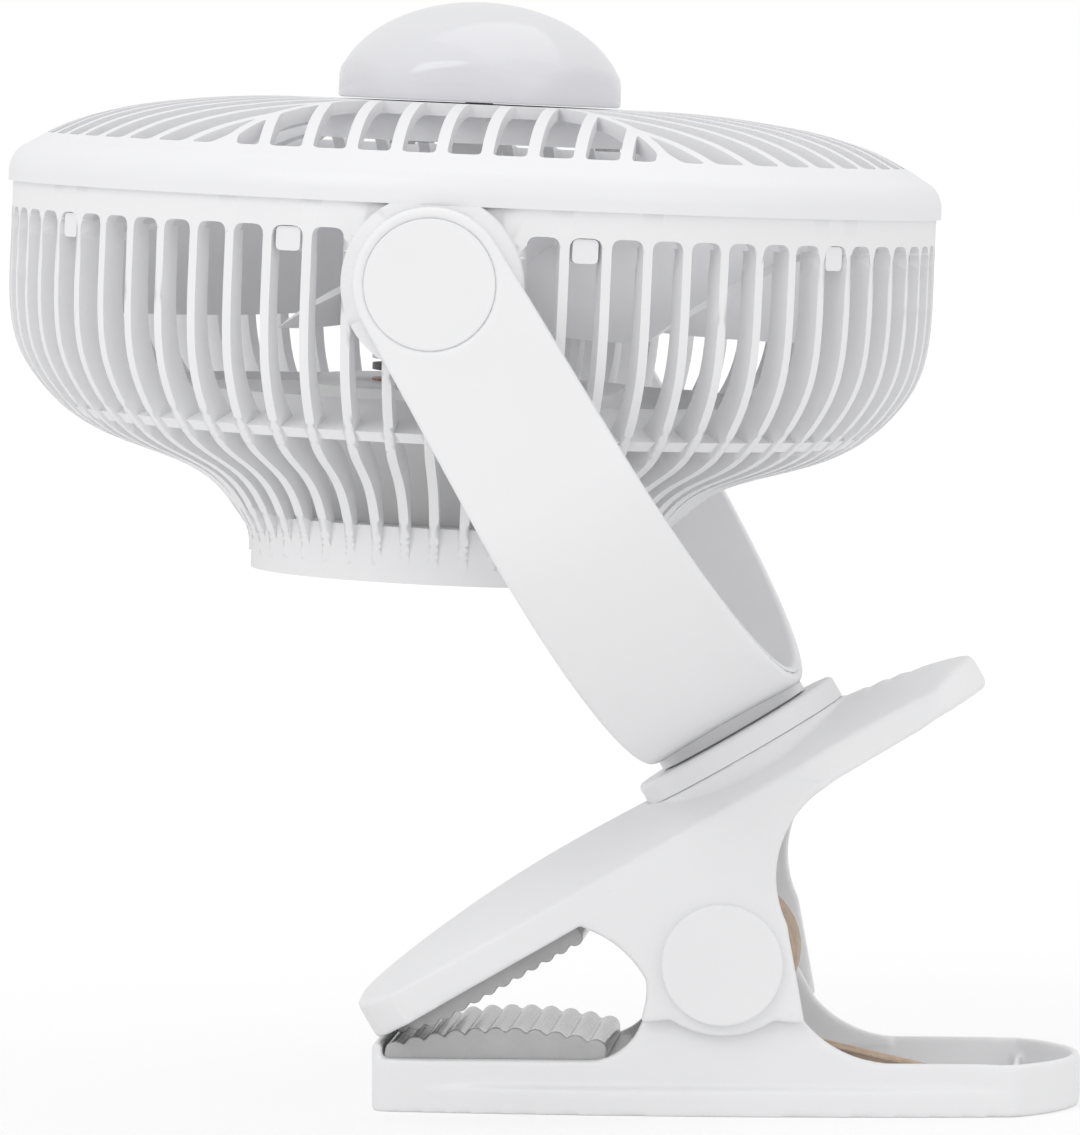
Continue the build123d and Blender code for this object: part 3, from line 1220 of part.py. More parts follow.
holder_foot = HUB_TOP + HUB_LEDGE + HOLDER_FLANGE
post_height = HUB_BOTTOM - COVER_THICK - holder_foot
with BuildPart() as battery_holder:
    with BuildSketch(HEAD.offset(-holder_foot)):
        obround(inner_end_r)
    extrude(amount=HOLDER_FLANGE)
    with BuildSketch(HEAD.offset(-holder_foot)):
        obround(HOLDER_END_R)
    extrude(amount=holder_foot - HOLDER_TOP)
    with BuildSketch(HEAD.offset(-holder_foot)):
        obround(HOLDER_END_R - HOLDER_WALL)
    extrude(amount=holder_foot - HOLDER_TOP - HOLDER_WALL, mode=Mode.SUBTRACT)
    # Posts that the back cover is screwed to, and rests for the board.
    with BuildSketch(HEAD.offset(-holder_foot)):
        with GridLocations(2 * COVER_SCREW_X, 2 * COVER_SCREW_Y, 2, 2):
            Circle(COVER_POST_R)
    extrude(amount=-post_height)
    with BuildSketch(HEAD.offset(-holder_foot)):
        with GridLocations(2 * BOARD_REST_X, 2 * BOARD_REST_Y, 2, 2):
            Circle(COVER_POST_R)
    extrude(amount=holder_foot - BOARD_DEPTH)
    # Cradles under the two cells.
    with BuildSketch(HEAD.offset(-HOLDER_TOP - HOLDER_WALL)):
        with GridLocations(0, CRADLE_SPACING, 1, 2):
            Rectangle(2 * CELL_SPACING, HOLDER_WALL)
    extrude(amount=HOLDER_TOP + HOLDER_WALL - cell_depth)
    for side in (1, -1):
        with BuildSketch(Plane.XZ):
            with Locations(cell_point(side)):
                Circle(CELL_R + SLIP_GAP)
        extrude(amount=CELL_LENGTH / 2 + CONTACT + SLIP_GAP, both=True, mode=Mode.SUBTRACT)
    with BuildSketch(HEAD.offset(-holder_foot)):
        with GridLocations(2 * HOLDER_SCREW_X, 2 * HOLDER_SCREW_Y, 2, 2):
            Circle(SCREW_R + SLIP_GAP)
    extrude(amount=HOLDER_FLANGE, mode=Mode.SUBTRACT)
    with BuildSketch(HEAD.offset(-HUB_BOTTOM + COVER_THICK)):
        with GridLocations(2 * COVER_SCREW_X, 2 * COVER_SCREW_Y, 2, 2):
            Circle(SCREW_R + SEAT_GAP)
    extrude(amount=COVER_SCREW_BITE, mode=Mode.SUBTRACT)
    with BuildSketch(HEAD.offset(-HOLDER_TOP - HOLDER_WALL)):
        Circle(CENTRE_TUBE_R)
    extrude(amount=HOLDER_WALL, mode=Mode.SUBTRACT)
save(battery_holder.part, "battery_holder")

with BuildPart() as holder_screws:
    with BuildSketch(HEAD.offset(-holder_foot)):
        with GridLocations(2 * HOLDER_SCREW_X, 2 * HOLDER_SCREW_Y, 2, 2):
            Circle(SCREW_R)
    extrude(amount=HOLDER_FLANGE + HUB_LEDGE)
    with BuildSketch(HEAD.offset(-holder_foot)):
        with GridLocations(2 * HOLDER_SCREW_X, 2 * HOLDER_SCREW_Y, 2, 2):
            Circle(HOLDER_SCREW_HEAD_R)
    extrude(amount=-SCREW_HEAD)
save(holder_screws.part, "holder_screws")

with BuildPart() as cover_screws:
    with BuildSketch(HEAD.offset(-HUB_BOTTOM + COVER_COUNTERBORE)):
        with GridLocations(2 * COVER_SCREW_X, 2 * COVER_SCREW_Y, 2, 2):
            Circle(SCREW_R)
    extrude(amount=COVER_THICK - COVER_COUNTERBORE + COVER_SCREW_BITE - SLIP_GAP)
    with BuildSketch(HEAD.offset(-HUB_BOTTOM + SLIP_GAP)):
        with GridLocations(2 * COVER_SCREW_X, 2 * COVER_SCREW_Y, 2, 2):
            Circle(SCREW_HEAD_R)
    extrude(amount=COVER_COUNTERBORE - SLIP_GAP)
save(cover_screws.part, "cover_screws")

with BuildPart() as battery_cells:
    for side in (1, -1):
        with BuildSketch(Plane.XZ):
            with Locations(cell_point(side)):
                Circle(CELL_R)
        extrude(amount=CELL_LENGTH / 2, both=True)
save(battery_cells.part, "battery_cells")

with BuildPart() as battery_contacts:
    for side in (1, -1):
        for end in (1, -1):
            with BuildSketch(Plane.XZ.offset(end * CELL_LENGTH / 2)):
                with Locations(cell_point(side)):
                    Circle(CONTACT_R)
            extrude(amount=end * CONTACT)
save(battery_contacts.part, "battery_contacts")

with BuildPart() as control_board:
    with BuildSketch(HEAD.offset(-BOARD_DEPTH - BOARD_THICK)):
        obround(BOARD_END_R)
        with GridLocations(2 * COVER_SCREW_X, 2 * COVER_SCREW_Y, 2, 2):
            Circle(COVER_POST_R + MOVING_GAP, mode=Mode.SUBTRACT)
    extrude(amount=BOARD_THICK)
    # Coil, chip and charging controller.
    for x, y, width, depth, height in BOARD_CHIPS:
        with BuildSketch(HEAD.offset(-BOARD_DEPTH - BOARD_THICK)):
            with Locations((x, y)):
                Rectangle(width, depth)
        extrude(amount=-height)
save(control_board.part, "control_board")

with BuildPart() as charging_port:
    with BuildSketch(tangent_plane(0, HUB_END_R - HUB_WALL / 2 - PORT_LENGTH)):
        with Locations((0, -port_depth)):
            SlotOverall(PORT_WIDTH, PORT_HEIGHT)
            SlotOverall(
                PORT_WIDTH - 2 * PORT_SHELL, PORT_HEIGHT - 2 * PORT_SHELL, mode=Mode.SUBTRACT
            )
            SlotOverall(PORT_WIDTH - 6 * PORT_SHELL, 2 * PORT_SHELL)
    extrude(amount=PORT_LENGTH)
    with BuildSketch(tangent_plane(0, HUB_END_R - HUB_WALL / 2 - PORT_LENGTH)):
        with Locations((0, -port_depth)):
            SlotOverall(PORT_WIDTH, PORT_HEIGHT)
    extrude(amount=PORT_SHELL)
save(charging_port.part, "charging_port")

# ====================================================================== motor
def head_rings(*rings):
    """Adds upright rings on the head's axis: outer radius, bore, low and high level."""
    for outer, bore, low, high in rings:
        with BuildSketch(HEAD.offset(low)) as ring:
            Circle(outer)
            if bore:
                Circle(bore, mode=Mode.SUBTRACT)
        extrude(ring.sketch, amount=high - low)


board_level = MOTOR_BOARD - HOLDER_TOP
base_level = board_level + STANDOFF
stator_level = base_level + MOTOR_BASE + WINDING + MOTOR_AIR
stator_top = stator_level + STATOR_HEIGHT
tube_top = stator_top + WINDING
can_top = tube_top + MOTOR_AIR + CAN_WALL
can_foot = base_level + MOTOR_BASE + MOTOR_AIR
shaft_top = can_top + SHAFT_ABOVE_CAN

with BuildPart() as motor_board:
    head_rings((MOTOR_BASE_R, CENTRE_TUBE_R + SEAT_GAP, -HOLDER_TOP, board_level))
save(motor_board.part, "motor_board")

with BuildPart() as motor_standoffs:
    with BuildSketch(HEAD.offset(board_level)):
        with PolarLocations(STANDOFF_PCR, STANDOFFS, start_angle=STANDOFF_START):
            Circle(STANDOFF_R)
    extrude(amount=STANDOFF)
save(motor_standoffs.part, "motor_standoffs")

with BuildPart() as motor_base:
    head_rings(
        (MOTOR_BASE_R, CENTRE_TUBE_R + SEAT_GAP, base_level, base_level + MOTOR_BASE)
    )
save(motor_base.part, "motor_base")

with BuildPart() as bearing_tube:
    head_rings(
        (BEARING_TUBE_R, BEARING_R + SEAT_GAP, base_level + MOTOR_BASE, tube_top)
    )
save(bearing_tube.part, "bearing_tube")

bearing_low = base_level + MOTOR_BASE
bearing_high = tube_top - BEARING_WIDTH
with BuildPart() as motor_bearings:
    for level in (bearing_low, bearing_high):
        head_rings((BEARING_R, SHAFT_R + RUNNING_GAP, level, level + BEARING_WIDTH))
    for level in (bearing_low, bearing_high):
        for end in (level, level + BEARING_WIDTH - BEARING_GROOVE):
            with BuildSketch(HEAD.offset(end)):
                Circle((BEARING_R + SHAFT_R) / 2 + BEARING_GROOVE)
                Circle((BEARING_R + SHAFT_R) / 2 - BEARING_GROOVE, mode=Mode.SUBTRACT)
            extrude(amount=BEARING_GROOVE, mode=Mode.SUBTRACT)
save(motor_bearings.part, "motor_bearings")

with BuildPart() as centre_tube:
    head_rings(
        (CENTRE_TUBE_R, 0, -HOLDER_TOP, sleeve_foot),
        (CENTRE_SLEEVE_R, 0, sleeve_foot, hub_cover_top - HUB_COVER),
    )
    with BuildSketch(HEAD.offset(-HOLDER_TOP)):
        Circle(CENTRE_TUBE_BORE_R)
    extrude(amount=HOLDER_TOP + GRILLE_TOP, mode=Mode.SUBTRACT)
save(centre_tube.part, "centre_tube")

with BuildPart() as control_lead:
    head_rings((LEAD_R, 0, -HOLDER_TOP, pot_foot))
save(control_lead.part, "control_lead")

# Nine-pole stator core: a ring, teeth and tooth tips, and a coil round each tooth.
tooth_root = BEARING_TUBE_R + STATOR_YOKE
with BuildPart() as stator_core:
    head_rings((tooth_root, BEARING_TUBE_R + SEAT_GAP, stator_level, stator_top))
    with BuildSketch(HEAD.offset(stator_level)):
        with PolarLocations((STATOR_R + BEARING_TUBE_R) / 2, STATOR_TEETH):
            Rectangle(STATOR_R - BEARING_TUBE_R - 1, TOOTH_WIDTH)
    extrude(amount=STATOR_HEIGHT)
    with BuildSketch(HEAD.offset(stator_level)):
        with PolarLocations(STATOR_R - TOOTH_TIP / 2, STATOR_TEETH):
            Rectangle(TOOTH_TIP, TOOTH_TIP_WIDTH)
    extrude(amount=STATOR_HEIGHT)
save(stator_core.part, "stator_core")

coil_inner = tooth_root + SLIP_GAP
coil_outer = STATOR_R - TOOTH_TIP - SLIP_GAP
with BuildPart() as stator_windings:
    with BuildSketch(HEAD.offset(stator_level - WINDING + SLIP_GAP)):
        with PolarLocations((coil_inner + coil_outer) / 2, STATOR_TEETH):
            Rectangle(coil_outer - coil_inner, TOOTH_WIDTH + 2 * COIL_SIDE)
    extrude(amount=STATOR_HEIGHT + 2 * WINDING - 2 * SLIP_GAP)
    with BuildSketch(HEAD.offset(stator_level)):
        with PolarLocations((coil_inner + coil_outer) / 2, STATOR_TEETH):
            Rectangle(coil_outer - coil_inner, TOOTH_WIDTH + SLIP_GAP)
    extrude(amount=STATOR_HEIGHT, mode=Mode.SUBTRACT)
save(stator_windings.part, "stator_windings")

with BuildPart() as rotor_shaft:
    head_rings((SHAFT_R, SHAFT_BORE_R, bearing_low + MOTOR_AIR, shaft_top))
save(rotor_shaft.part, "rotor_shaft")

with BuildPart() as rotor_can:
    head_rings(
        (CAN_R, CAN_R - CAN_WALL, can_foot, can_top),
        (CAN_R, SHAFT_R + SEAT_GAP, can_top - CAN_WALL, can_top),
    )
    with BuildSketch(HEAD.offset(can_top - CAN_WALL)):
        with PolarLocations(IMPELLER_SCREW_PCR, IMPELLER_SCREWS):
            Circle(SCREW_R + SEAT_GAP)
    extrude(amount=CAN_WALL, mode=Mode.SUBTRACT)
save(rotor_can.part, "rotor_can")

with BuildPart() as rotor_magnets:
    head_rings(
        (CAN_R - CAN_WALL - SEAT_GAP, CAN_R - CAN_WALL - MAGNET, stator_level, stator_top)
    )
save(rotor_magnets.part, "rotor_magnets")

# =================================================================== impeller
web_top = can_top + IMPELLER_WEB
with BuildPart() as impeller:
    for radius, chord, pitch, sweep_back in BLADE_SECTIONS:
        with BuildSketch(tangent_plane(0, radius)):
            with BuildLine():
                half = chord / 2
                camber = chord * BLADE_CAMBER
                for face in (1, -1):
                    ThreePointArc(
                        *(
                            (
                                sweep_back + x * cos(radians(pitch)) - y * sin(radians(pitch)),
                                -BLADE_MID + x * sin(radians(pitch)) + y * cos(radians(pitch)),
                            )
                            for x, y in (
                                (-half, 0),
                                (0, camber + face * BLADE_THICK / 2),
                                (half, 0),
                            )
                        )
                    )
            make_face()
    blade = loft(mode=Mode.PRIVATE)
    for blade_number in range(BLADES):
        add(blade.rotate(head_axis, 360 * blade_number / BLADES))
    with BuildSketch(HEAD.offset(-HOLDER_TOP)):
        Circle(IMPELLER_R)
    extrude(amount=HOLDER_TOP + GRILLE_TOP, mode=Mode.INTERSECT)
    with BuildSketch(HEAD.offset(-HOLDER_TOP)):
        Circle(IMPELLER_HUB_R)
    extrude(amount=HOLDER_TOP + GRILLE_TOP, mode=Mode.SUBTRACT)
    hub_bore = CAN_R + SLIP_GAP
    head_rings(
        (IMPELLER_HUB_R, hub_bore, can_foot + MOTOR_AIR, IMPELLER_HUB_TOP),
        (IMPELLER_HUB_R, SHAFT_R + SEAT_GAP, can_top, web_top),
        (IMPELLER_BOSS_R, SHAFT_R + SEAT_GAP, can_top, shaft_top),
    )
    with BuildSketch(HEAD.offset(can_top)):
        with PolarLocations(IMPELLER_SCREW_PCR, IMPELLER_SCREWS):
            Circle(SCREW_R + SLIP_GAP)
    extrude(amount=IMPELLER_WEB, mode=Mode.SUBTRACT)
save(impeller.part, "impeller")

with BuildPart() as impeller_screws:
    with BuildSketch(HEAD.offset(can_top - CAN_WALL)):
        with PolarLocations(IMPELLER_SCREW_PCR, IMPELLER_SCREWS):
            Circle(SCREW_R)
    extrude(amount=CAN_WALL + IMPELLER_WEB)
    with BuildSketch(HEAD.offset(web_top)):
        with PolarLocations(IMPELLER_SCREW_PCR, IMPELLER_SCREWS):
            Circle(SCREW_HEAD_R)
    extrude(amount=SCREW_HEAD)
save(impeller_screws.part, "impeller_screws")

# ============================================================== speed control
with BuildPart() as hub_inner_cover:
    with BuildSketch(HEAD.offset(hub_cover_top - HUB_COVER)):
        Circle(GRILLE_HUB_WALL_R - HUB_WALL - SLIP_GAP)
        with PolarLocations(HUB_COVER_PCR, HUB_COVER_SCREWS):
            Circle(SCREW_R + SLIP_GAP, mode=Mode.SUBTRACT)
        Circle(CENTRE_TUBE_BORE_R, mode=Mode.SUBTRACT)
    extrude(amount=HUB_COVER)
save(hub_inner_cover.part, "hub_inner_cover")

with BuildPart() as hub_cover_screws:
    with BuildSketch(HEAD.offset(hub_cover_top - HUB_COVER)):
        with PolarLocations(HUB_COVER_PCR, HUB_COVER_SCREWS):
            Circle(SCREW_R)
    extrude(amount=HUB_COVER + HUB_COVER_BITE - SLIP_GAP)
    with BuildSketch(HEAD.offset(hub_cover_top - HUB_COVER)):
        with PolarLocations(HUB_COVER_PCR, HUB_COVER_SCREWS):
            Circle(SCREW_HEAD_R)
    extrude(amount=-SCREW_HEAD / 2)
save(hub_cover_screws.part, "hub_cover_screws")

with BuildPart() as speed_control:
    head_rings(
        (POT_R, POT_SHAFT_R + RUNNING_GAP, pot_top - POT_DEPTH, pot_top),
        (POT_BUSH_R, POT_SHAFT_R + RUNNING_GAP, pot_top, GRILLE_TOP),
        (POT_R, 0, pot_foot, pot_top - POT_DEPTH),
    )
save(speed_control.part, "speed_control")

with BuildPart() as control_shaft:
    head_rings((POT_SHAFT_R, 0, pot_top - POT_DEPTH + SLIP_GAP, stem_top))
save(control_shaft.part, "control_shaft")



def knob_dome(radius, height):
    """Profile of a flattened half ball on the knob's base, from its edge to the axis."""
    points = []
    for step in range(KNOB_DOME_STEPS + 1):
        rise = pi / 2 * step / KNOB_DOME_STEPS
        points.append((radius * cos(rise), KNOB_BASE + height * sin(rise)))
    return Spline(points, tangents=((0, 1), (-1, 0)))


with BuildPart() as control_knob:
    # Half of a flattened ball, cut to a six-lobed outline so its edge is wavy.
    with BuildSketch(HEAD_SECTION):
        with BuildLine():
            dome = knob_dome(KNOB_R, KNOB_TOP - KNOB_BASE)
            hollow = knob_dome(KNOB_HOLLOW_R, KNOB_TOP - KNOB_BASE - KNOB_WALL)
            Line(dome @ 0, hollow @ 0)
            Line(dome @ 1, hollow @ 1)
        make_face()
    revolve(axis=head_axis)
    with BuildSketch(HEAD.offset(KNOB_BASE - 1)):
        with BuildLine():
            lobes = []
            for lobe in range(2 * KNOB_FLUTES):
                turn = radians(KNOB_RIDGE_ANGLE + 180 * lobe / KNOB_FLUTES)
                radius = KNOB_RIDGE_R if lobe % 2 == 0 else KNOB_VALLEY_R
                lobes.append((radius * cos(turn), radius * sin(turn)))
            Spline(lobes, periodic=True)
        make_face()
    extrude(amount=KNOB_TOP - KNOB_BASE + 2, mode=Mode.INTERSECT)
    head_rings((KNOB_STEM_R, 0, KNOB_BASE, KNOB_TOP - KNOB_WALL / 2))
    with BuildSketch(HEAD.offset(KNOB_BASE)):
        Circle(POT_SHAFT_R + SEAT_GAP)
    extrude(amount=stem_top - KNOB_BASE, mode=Mode.SUBTRACT)
save(control_knob.part, "control_knob")
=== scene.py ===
"""Looks of the clip fan: finishes, softened shells, grille, cage, knob, spring and studio."""

from __future__ import annotations

import json
import logging
import math
from abc import ABC, abstractmethod
from collections.abc import Callable, Iterable, Mapping, Sequence
from dataclasses import dataclass, field
from enum import Enum

import bmesh
import bpy
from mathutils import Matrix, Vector

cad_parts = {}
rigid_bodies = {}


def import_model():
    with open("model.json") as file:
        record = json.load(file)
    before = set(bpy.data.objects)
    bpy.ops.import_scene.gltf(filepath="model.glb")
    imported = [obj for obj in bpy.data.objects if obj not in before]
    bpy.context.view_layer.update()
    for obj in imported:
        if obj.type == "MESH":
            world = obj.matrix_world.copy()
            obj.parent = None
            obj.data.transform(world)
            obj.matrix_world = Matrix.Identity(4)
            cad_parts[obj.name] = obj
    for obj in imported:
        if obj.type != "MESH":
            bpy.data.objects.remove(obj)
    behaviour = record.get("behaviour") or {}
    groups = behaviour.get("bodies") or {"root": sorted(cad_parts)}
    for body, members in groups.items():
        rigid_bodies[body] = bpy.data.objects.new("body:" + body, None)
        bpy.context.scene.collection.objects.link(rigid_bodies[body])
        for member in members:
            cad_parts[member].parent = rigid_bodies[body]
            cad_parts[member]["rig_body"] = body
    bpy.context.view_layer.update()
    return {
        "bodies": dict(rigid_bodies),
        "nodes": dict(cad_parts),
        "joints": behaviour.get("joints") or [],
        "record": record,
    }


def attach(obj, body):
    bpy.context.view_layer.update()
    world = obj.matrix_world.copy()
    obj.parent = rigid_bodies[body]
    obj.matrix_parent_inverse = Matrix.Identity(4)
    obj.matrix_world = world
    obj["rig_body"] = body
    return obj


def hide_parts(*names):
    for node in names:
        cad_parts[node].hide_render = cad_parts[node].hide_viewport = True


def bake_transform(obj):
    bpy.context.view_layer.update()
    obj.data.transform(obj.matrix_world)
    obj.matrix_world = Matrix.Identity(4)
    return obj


LOG = logging.getLogger("clip_fan")
MM = 0.001
SHARP_ANGLE = 30.0  # degrees; edges that turn by less are shaded smooth
LEAST_CORNER = 25.0  # degrees; corners of an outline that turn by less stay as they are
CORNER_STEPS = 4
MIX_LOW, MIX_HIGH, MIX_RESULT = 6, 7, 2  # the Mix node's colour inputs and output, by number
PLAIN_WHITE = (1.0, 1.0, 1.0, 1.0)
Colour = tuple[float, float, float]
Point = tuple[float, float]


class Slot(Enum):
    """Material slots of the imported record."""

    WHITE = "white_plastic"
    GRILLE = "grille_plastic"
    KNOB = "knob_plastic"
    IMPELLER = "impeller_plastic"
    INNER = "inner_plastic"
    PAD = "pad_rubber"
    STEEL = "bright_steel"
    SPRING = "spring_steel"
    NYLON = "washer_nylon"
    CELL = "cell_sleeve"
    CONTACT = "contact_metal"
    BOARD = "circuit_board"
    BLACK = "black_plastic"
    LEAD = "lead_sleeve"
    MAGNET = "magnet_iron"
    COPPER = "copper_wire"


# ------------------------------------------------------------------ shader maths
class Socket:
    """One output of a shader node, with arithmetic that adds the nodes it needs."""

    def __init__(self, graph: Graph, link: bpy.types.NodeSocket) -> None:
        """Keeps the graph and the socket."""
        self.graph = graph
        self.link = link

    def _apply(self, operation: str, other: Socket | float, swapped: bool = False) -> Socket:
        """Adds one Math or Vector Math node.

        Args:
            operation: The node's operation.
            other: The other operand.
            swapped: Whether the other operand comes first.

        Returns:
            The node's output.
        """
        pair = (other, self) if swapped else (self, other)
        kind = "ShaderNodeMath"
        if self.link.type == "VECTOR":
            kind = "ShaderNodeVectorMath"
            pair = tuple((v, v, v) if isinstance(v, (int, float)) else v for v in pair)
        return self.graph.add(kind, {"operation": operation}, dict(enumerate(pair)))

    def __add__(self, other: Socket | float) -> Socket:
        """Sum."""
        return self._apply("ADD", other)

    def __radd__(self, other: float) -> Socket:
        """Sum with a number on the left."""
        return self._apply("ADD", other, True)

    def __sub__(self, other: Socket | float) -> Socket:
        """Difference."""
        return self._apply("SUBTRACT", other)

    def __rsub__(self, other: float) -> Socket:
        """Difference from a number."""
        return self._apply("SUBTRACT", other, True)

    def __mul__(self, other: Socket | float) -> Socket:
        """Product."""
        return self._apply("MULTIPLY", other)

    def __rmul__(self, other: float) -> Socket:
        """Product with a number on the left."""
        return self._apply("MULTIPLY", other, True)


class Graph:
    """The node tree of one material or world."""

    def __init__(self, tree: bpy.types.NodeTree) -> None:
        """Empties the tree."""
        self.tree = tree
        tree.nodes.clear()

    def add(
        self,
        kind: str,
        settings: Mapping[str, object] | None = None,
        inputs: Mapping[str | int, object] | None = None,
        output: str | int = 0,
    ) -> Socket:
        """Adds a node.

        Args:
            kind: The node's type.
            settings: Its own settings, and under "stops" a ramp's places and colours.
            inputs: Values or sockets, by the name or number of the input.
            output: Which output to hand back.

        Returns:
            That output.
        """
        node = self.tree.nodes.new(kind)
        for name, value in (settings or {}).items():
            if name == "stops":
                self._set_stops(node.color_ramp, value)
            else:
                setattr(node, name, value)
        for name, value in (inputs or {}).items():
            if isinstance(value, Socket):
                self.tree.links.new(value.link, node.inputs[name])
            else:
                node.inputs[name].default_value = value
        return Socket(self, node.outputs[output] if node.outputs else None)

    @staticmethod
    def _set_stops(ramp: bpy.types.ColorRamp, stops: Sequence[tuple[float, float]]) -> None:
        """Sets a ramp's stops.

        Args:
            ramp: The ramp.
            stops: Place and grey level of each stop.
        """
        while len(ramp.elements) < len(stops):
            ramp.elements.new(1.0)
        for element, (place, level) in zip(ramp.elements, stops):
            element.position = place
            element.color = (level, level, level, 1.0)

    def place(self) -> Socket:
        """Point on the piece, in metres."""
        return self.add("ShaderNodeTexCoord", output="Object")

    def noise(self, feature: float, detail: float = 2.0) -> Socket:
        """Soft noise.

        Args:
            feature: Size of its blotches, in metres.
            detail: Octaves.

        Returns:
            Its value, from 0 to 1.
        """
        inputs = {"Vector": self.place(), "Scale": 1.0 / feature, "Detail": detail}
        return self.add("ShaderNodeTexNoise", inputs=inputs)

    def mix(self, share: Socket | float, low: Colour, high: Colour) -> Socket:
        """Mixes two colours.

        Args:
            share: Share of the second.
            low: The first.
            high: The second.

        Returns:
            The mixed colour.
        """
        inputs = {"Factor": share, MIX_LOW: (*low, 1.0), MIX_HIGH: (*high, 1.0)}
        return self.add("ShaderNodeMix", {"data_type": "RGBA"}, inputs, output=MIX_RESULT)

    def bump(self, height: Socket, depth: float) -> Socket:
        """Turns a height into a normal.

        Args:
            height: Height from 0 to 1.
            depth: What a height of 1 stands for, in metres.

        Returns:
            The bent normal.
        """
        return self.add("ShaderNodeBump", inputs={"Height": height, "Distance": depth})

    def surface(self, **inputs: object) -> None:
        """Adds a Principled shader with these inputs and makes it the surface.

        Args:
            inputs: Values or sockets, by input name with underscores for spaces.
        """
        named = {name.replace("_", " "): value for name, value in inputs.items()}
        shader = self.add("ShaderNodeBsdfPrincipled", inputs=named)
        self.add("ShaderNodeOutputMaterial", inputs={"Surface": shader})


def new_material(name: str) -> tuple[bpy.types.Material, Graph]:
    """Makes an empty node material.

    Args:
        name: Its name.

    Returns:
        The material and its graph.
    """
    material = bpy.data.materials.new(name)
    material.use_nodes = True
    return material, Graph(material.node_tree)


# ---------------------------------------------------------------------- finishes
class Finish(ABC):
    """A finish that can be made into a material."""

    def material(self, name: str) -> bpy.types.Material:
        """Builds the material.

        Args:
            name: Its name.

        Returns:
            The material.
        """
        material, graph = new_material(name)
        self.shade(graph)
        return material

    @abstractmethod
    def shade(self, graph: Graph) -> None:
        """Adds the finish's nodes to an empty graph."""


@dataclass(frozen=True)
class MouldedPlastic(Finish):
    """Injection-moulded plastic: an even tone with faint flow clouds and a fine spark grain."""

    tone: Colour
    roughness: float = 0.42
    drift: float = 0.02
    cloud: float = 28 * MM
    cloud_dulling: float = 0.06
    grain: float = 0.35 * MM
    grain_dulling: float = 0.05
    grain_depth: float = 0.004 * MM
    coat: float = 0.0
    coat_roughness: float = 0.08

    def shade(self, graph: Graph) -> None:
        """Adds the clouds, the grain and the gloss.

        Args:
            graph: The material's graph.
        """
        clouds = graph.noise(self.cloud)
        fine = graph.noise(self.grain, detail=4.0)
        darker = tuple(level * (1 - self.drift) for level in self.tone)
        lighter = tuple(min(1.0, level * (1 + self.drift)) for level in self.tone)
        least = self.roughness - (self.cloud_dulling + self.grain_dulling) / 2
        graph.surface(
            Base_Color=graph.mix(clouds, darker, lighter),
            Roughness=clouds * self.cloud_dulling + fine * self.grain_dulling + least,
            Normal=graph.bump(fine, self.grain_depth),
            Coat_Weight=self.coat,
            Coat_Roughness=self.coat_roughness,
        )


@dataclass(frozen=True)
class Metal(Finish):
    """Plated, brushed or oiled metal with stains and fine drawn scratches."""

    tone: Colour
    stain: Colour
    roughness: float = 0.28
    blotch: float = 3 * MM
    blotch_dulling: float = 0.08
    scratch: float = 0.25 * MM
    scratch_dulling: float = 0.12
    scratch_depth: float = 0.006 * MM

    def shade(self, graph: Graph) -> None:
        """Adds the stains and the scratches.

        Args:
            graph: The material's graph.
        """
        stains = graph.noise(self.blotch, detail=3.0)
        scratches = graph.noise(self.scratch, detail=5.0)
        least = self.roughness - (self.scratch_dulling + self.blotch_dulling) / 2
        graph.surface(
            Base_Color=graph.mix(stains, self.tone, self.stain),
            Metallic=1.0,
            Roughness=scratches * self.scratch_dulling + stains * self.blotch_dulling + least,
            Normal=graph.bump(scratches, self.scratch_depth),
        )


@dataclass(frozen=True)
class Rubber(Finish):
    """Soft translucent rubber: cloudy grey with a wet-looking skin."""

    tone: Colour
    deep: Colour
    cloud: float = 6 * MM
    least_roughness: float = 0.17
    skin: float = 0.9 * MM
    skin_dulling: float = 0.15
    skin_depth: float = 0.02 * MM
    coat: float = 0.6
    coat_roughness: float = 0.08

    def shade(self, graph: Graph) -> None:
        """Adds the clouds and the uneven wet skin.

        Args:
            graph: The material's graph.
        """
        clouds = graph.noise(self.cloud, detail=3.0)
        skin = graph.noise(self.skin, detail=3.0)
        graph.surface(
            Base_Color=graph.mix(clouds, self.deep, self.tone),
            Roughness=skin * self.skin_dulling + self.least_roughness,
            Normal=graph.bump(skin, self.skin_depth),
            Coat_Weight=self.coat,
            Coat_Roughness=self.coat_roughness,
        )


@dataclass(frozen=True)
class Laminate(Finish):
    """Lacquered circuit board with faint tracks under its lacquer."""

    tone: Colour
    track: Colour
    roughness: float = 0.3
    cell: float = 2.2 * MM
    track_edge: tuple[Point, Point] = ((0.38, 0.0), (0.46, 1.0))
    track_height: float = 0.03 * MM

    def shade(self, graph: Graph) -> None:
        """Adds the tracks and the lacquer.

        Args:
            graph: The material's graph.
        """
        cells = graph.add(
            "ShaderNodeTexVoronoi",
            {"distance": "CHEBYCHEV"},
            {"Vector": graph.place(), "Scale": 1 / self.cell},
        )
        tracks = graph.add("ShaderNodeValToRGB", {"stops": self.track_edge}, {"Fac": cells})
        graph.surface(
            Base_Color=graph.mix(tracks, self.tone, self.track),
            Roughness=self.roughness,
            Normal=graph.bump(tracks, self.track_height),
        )


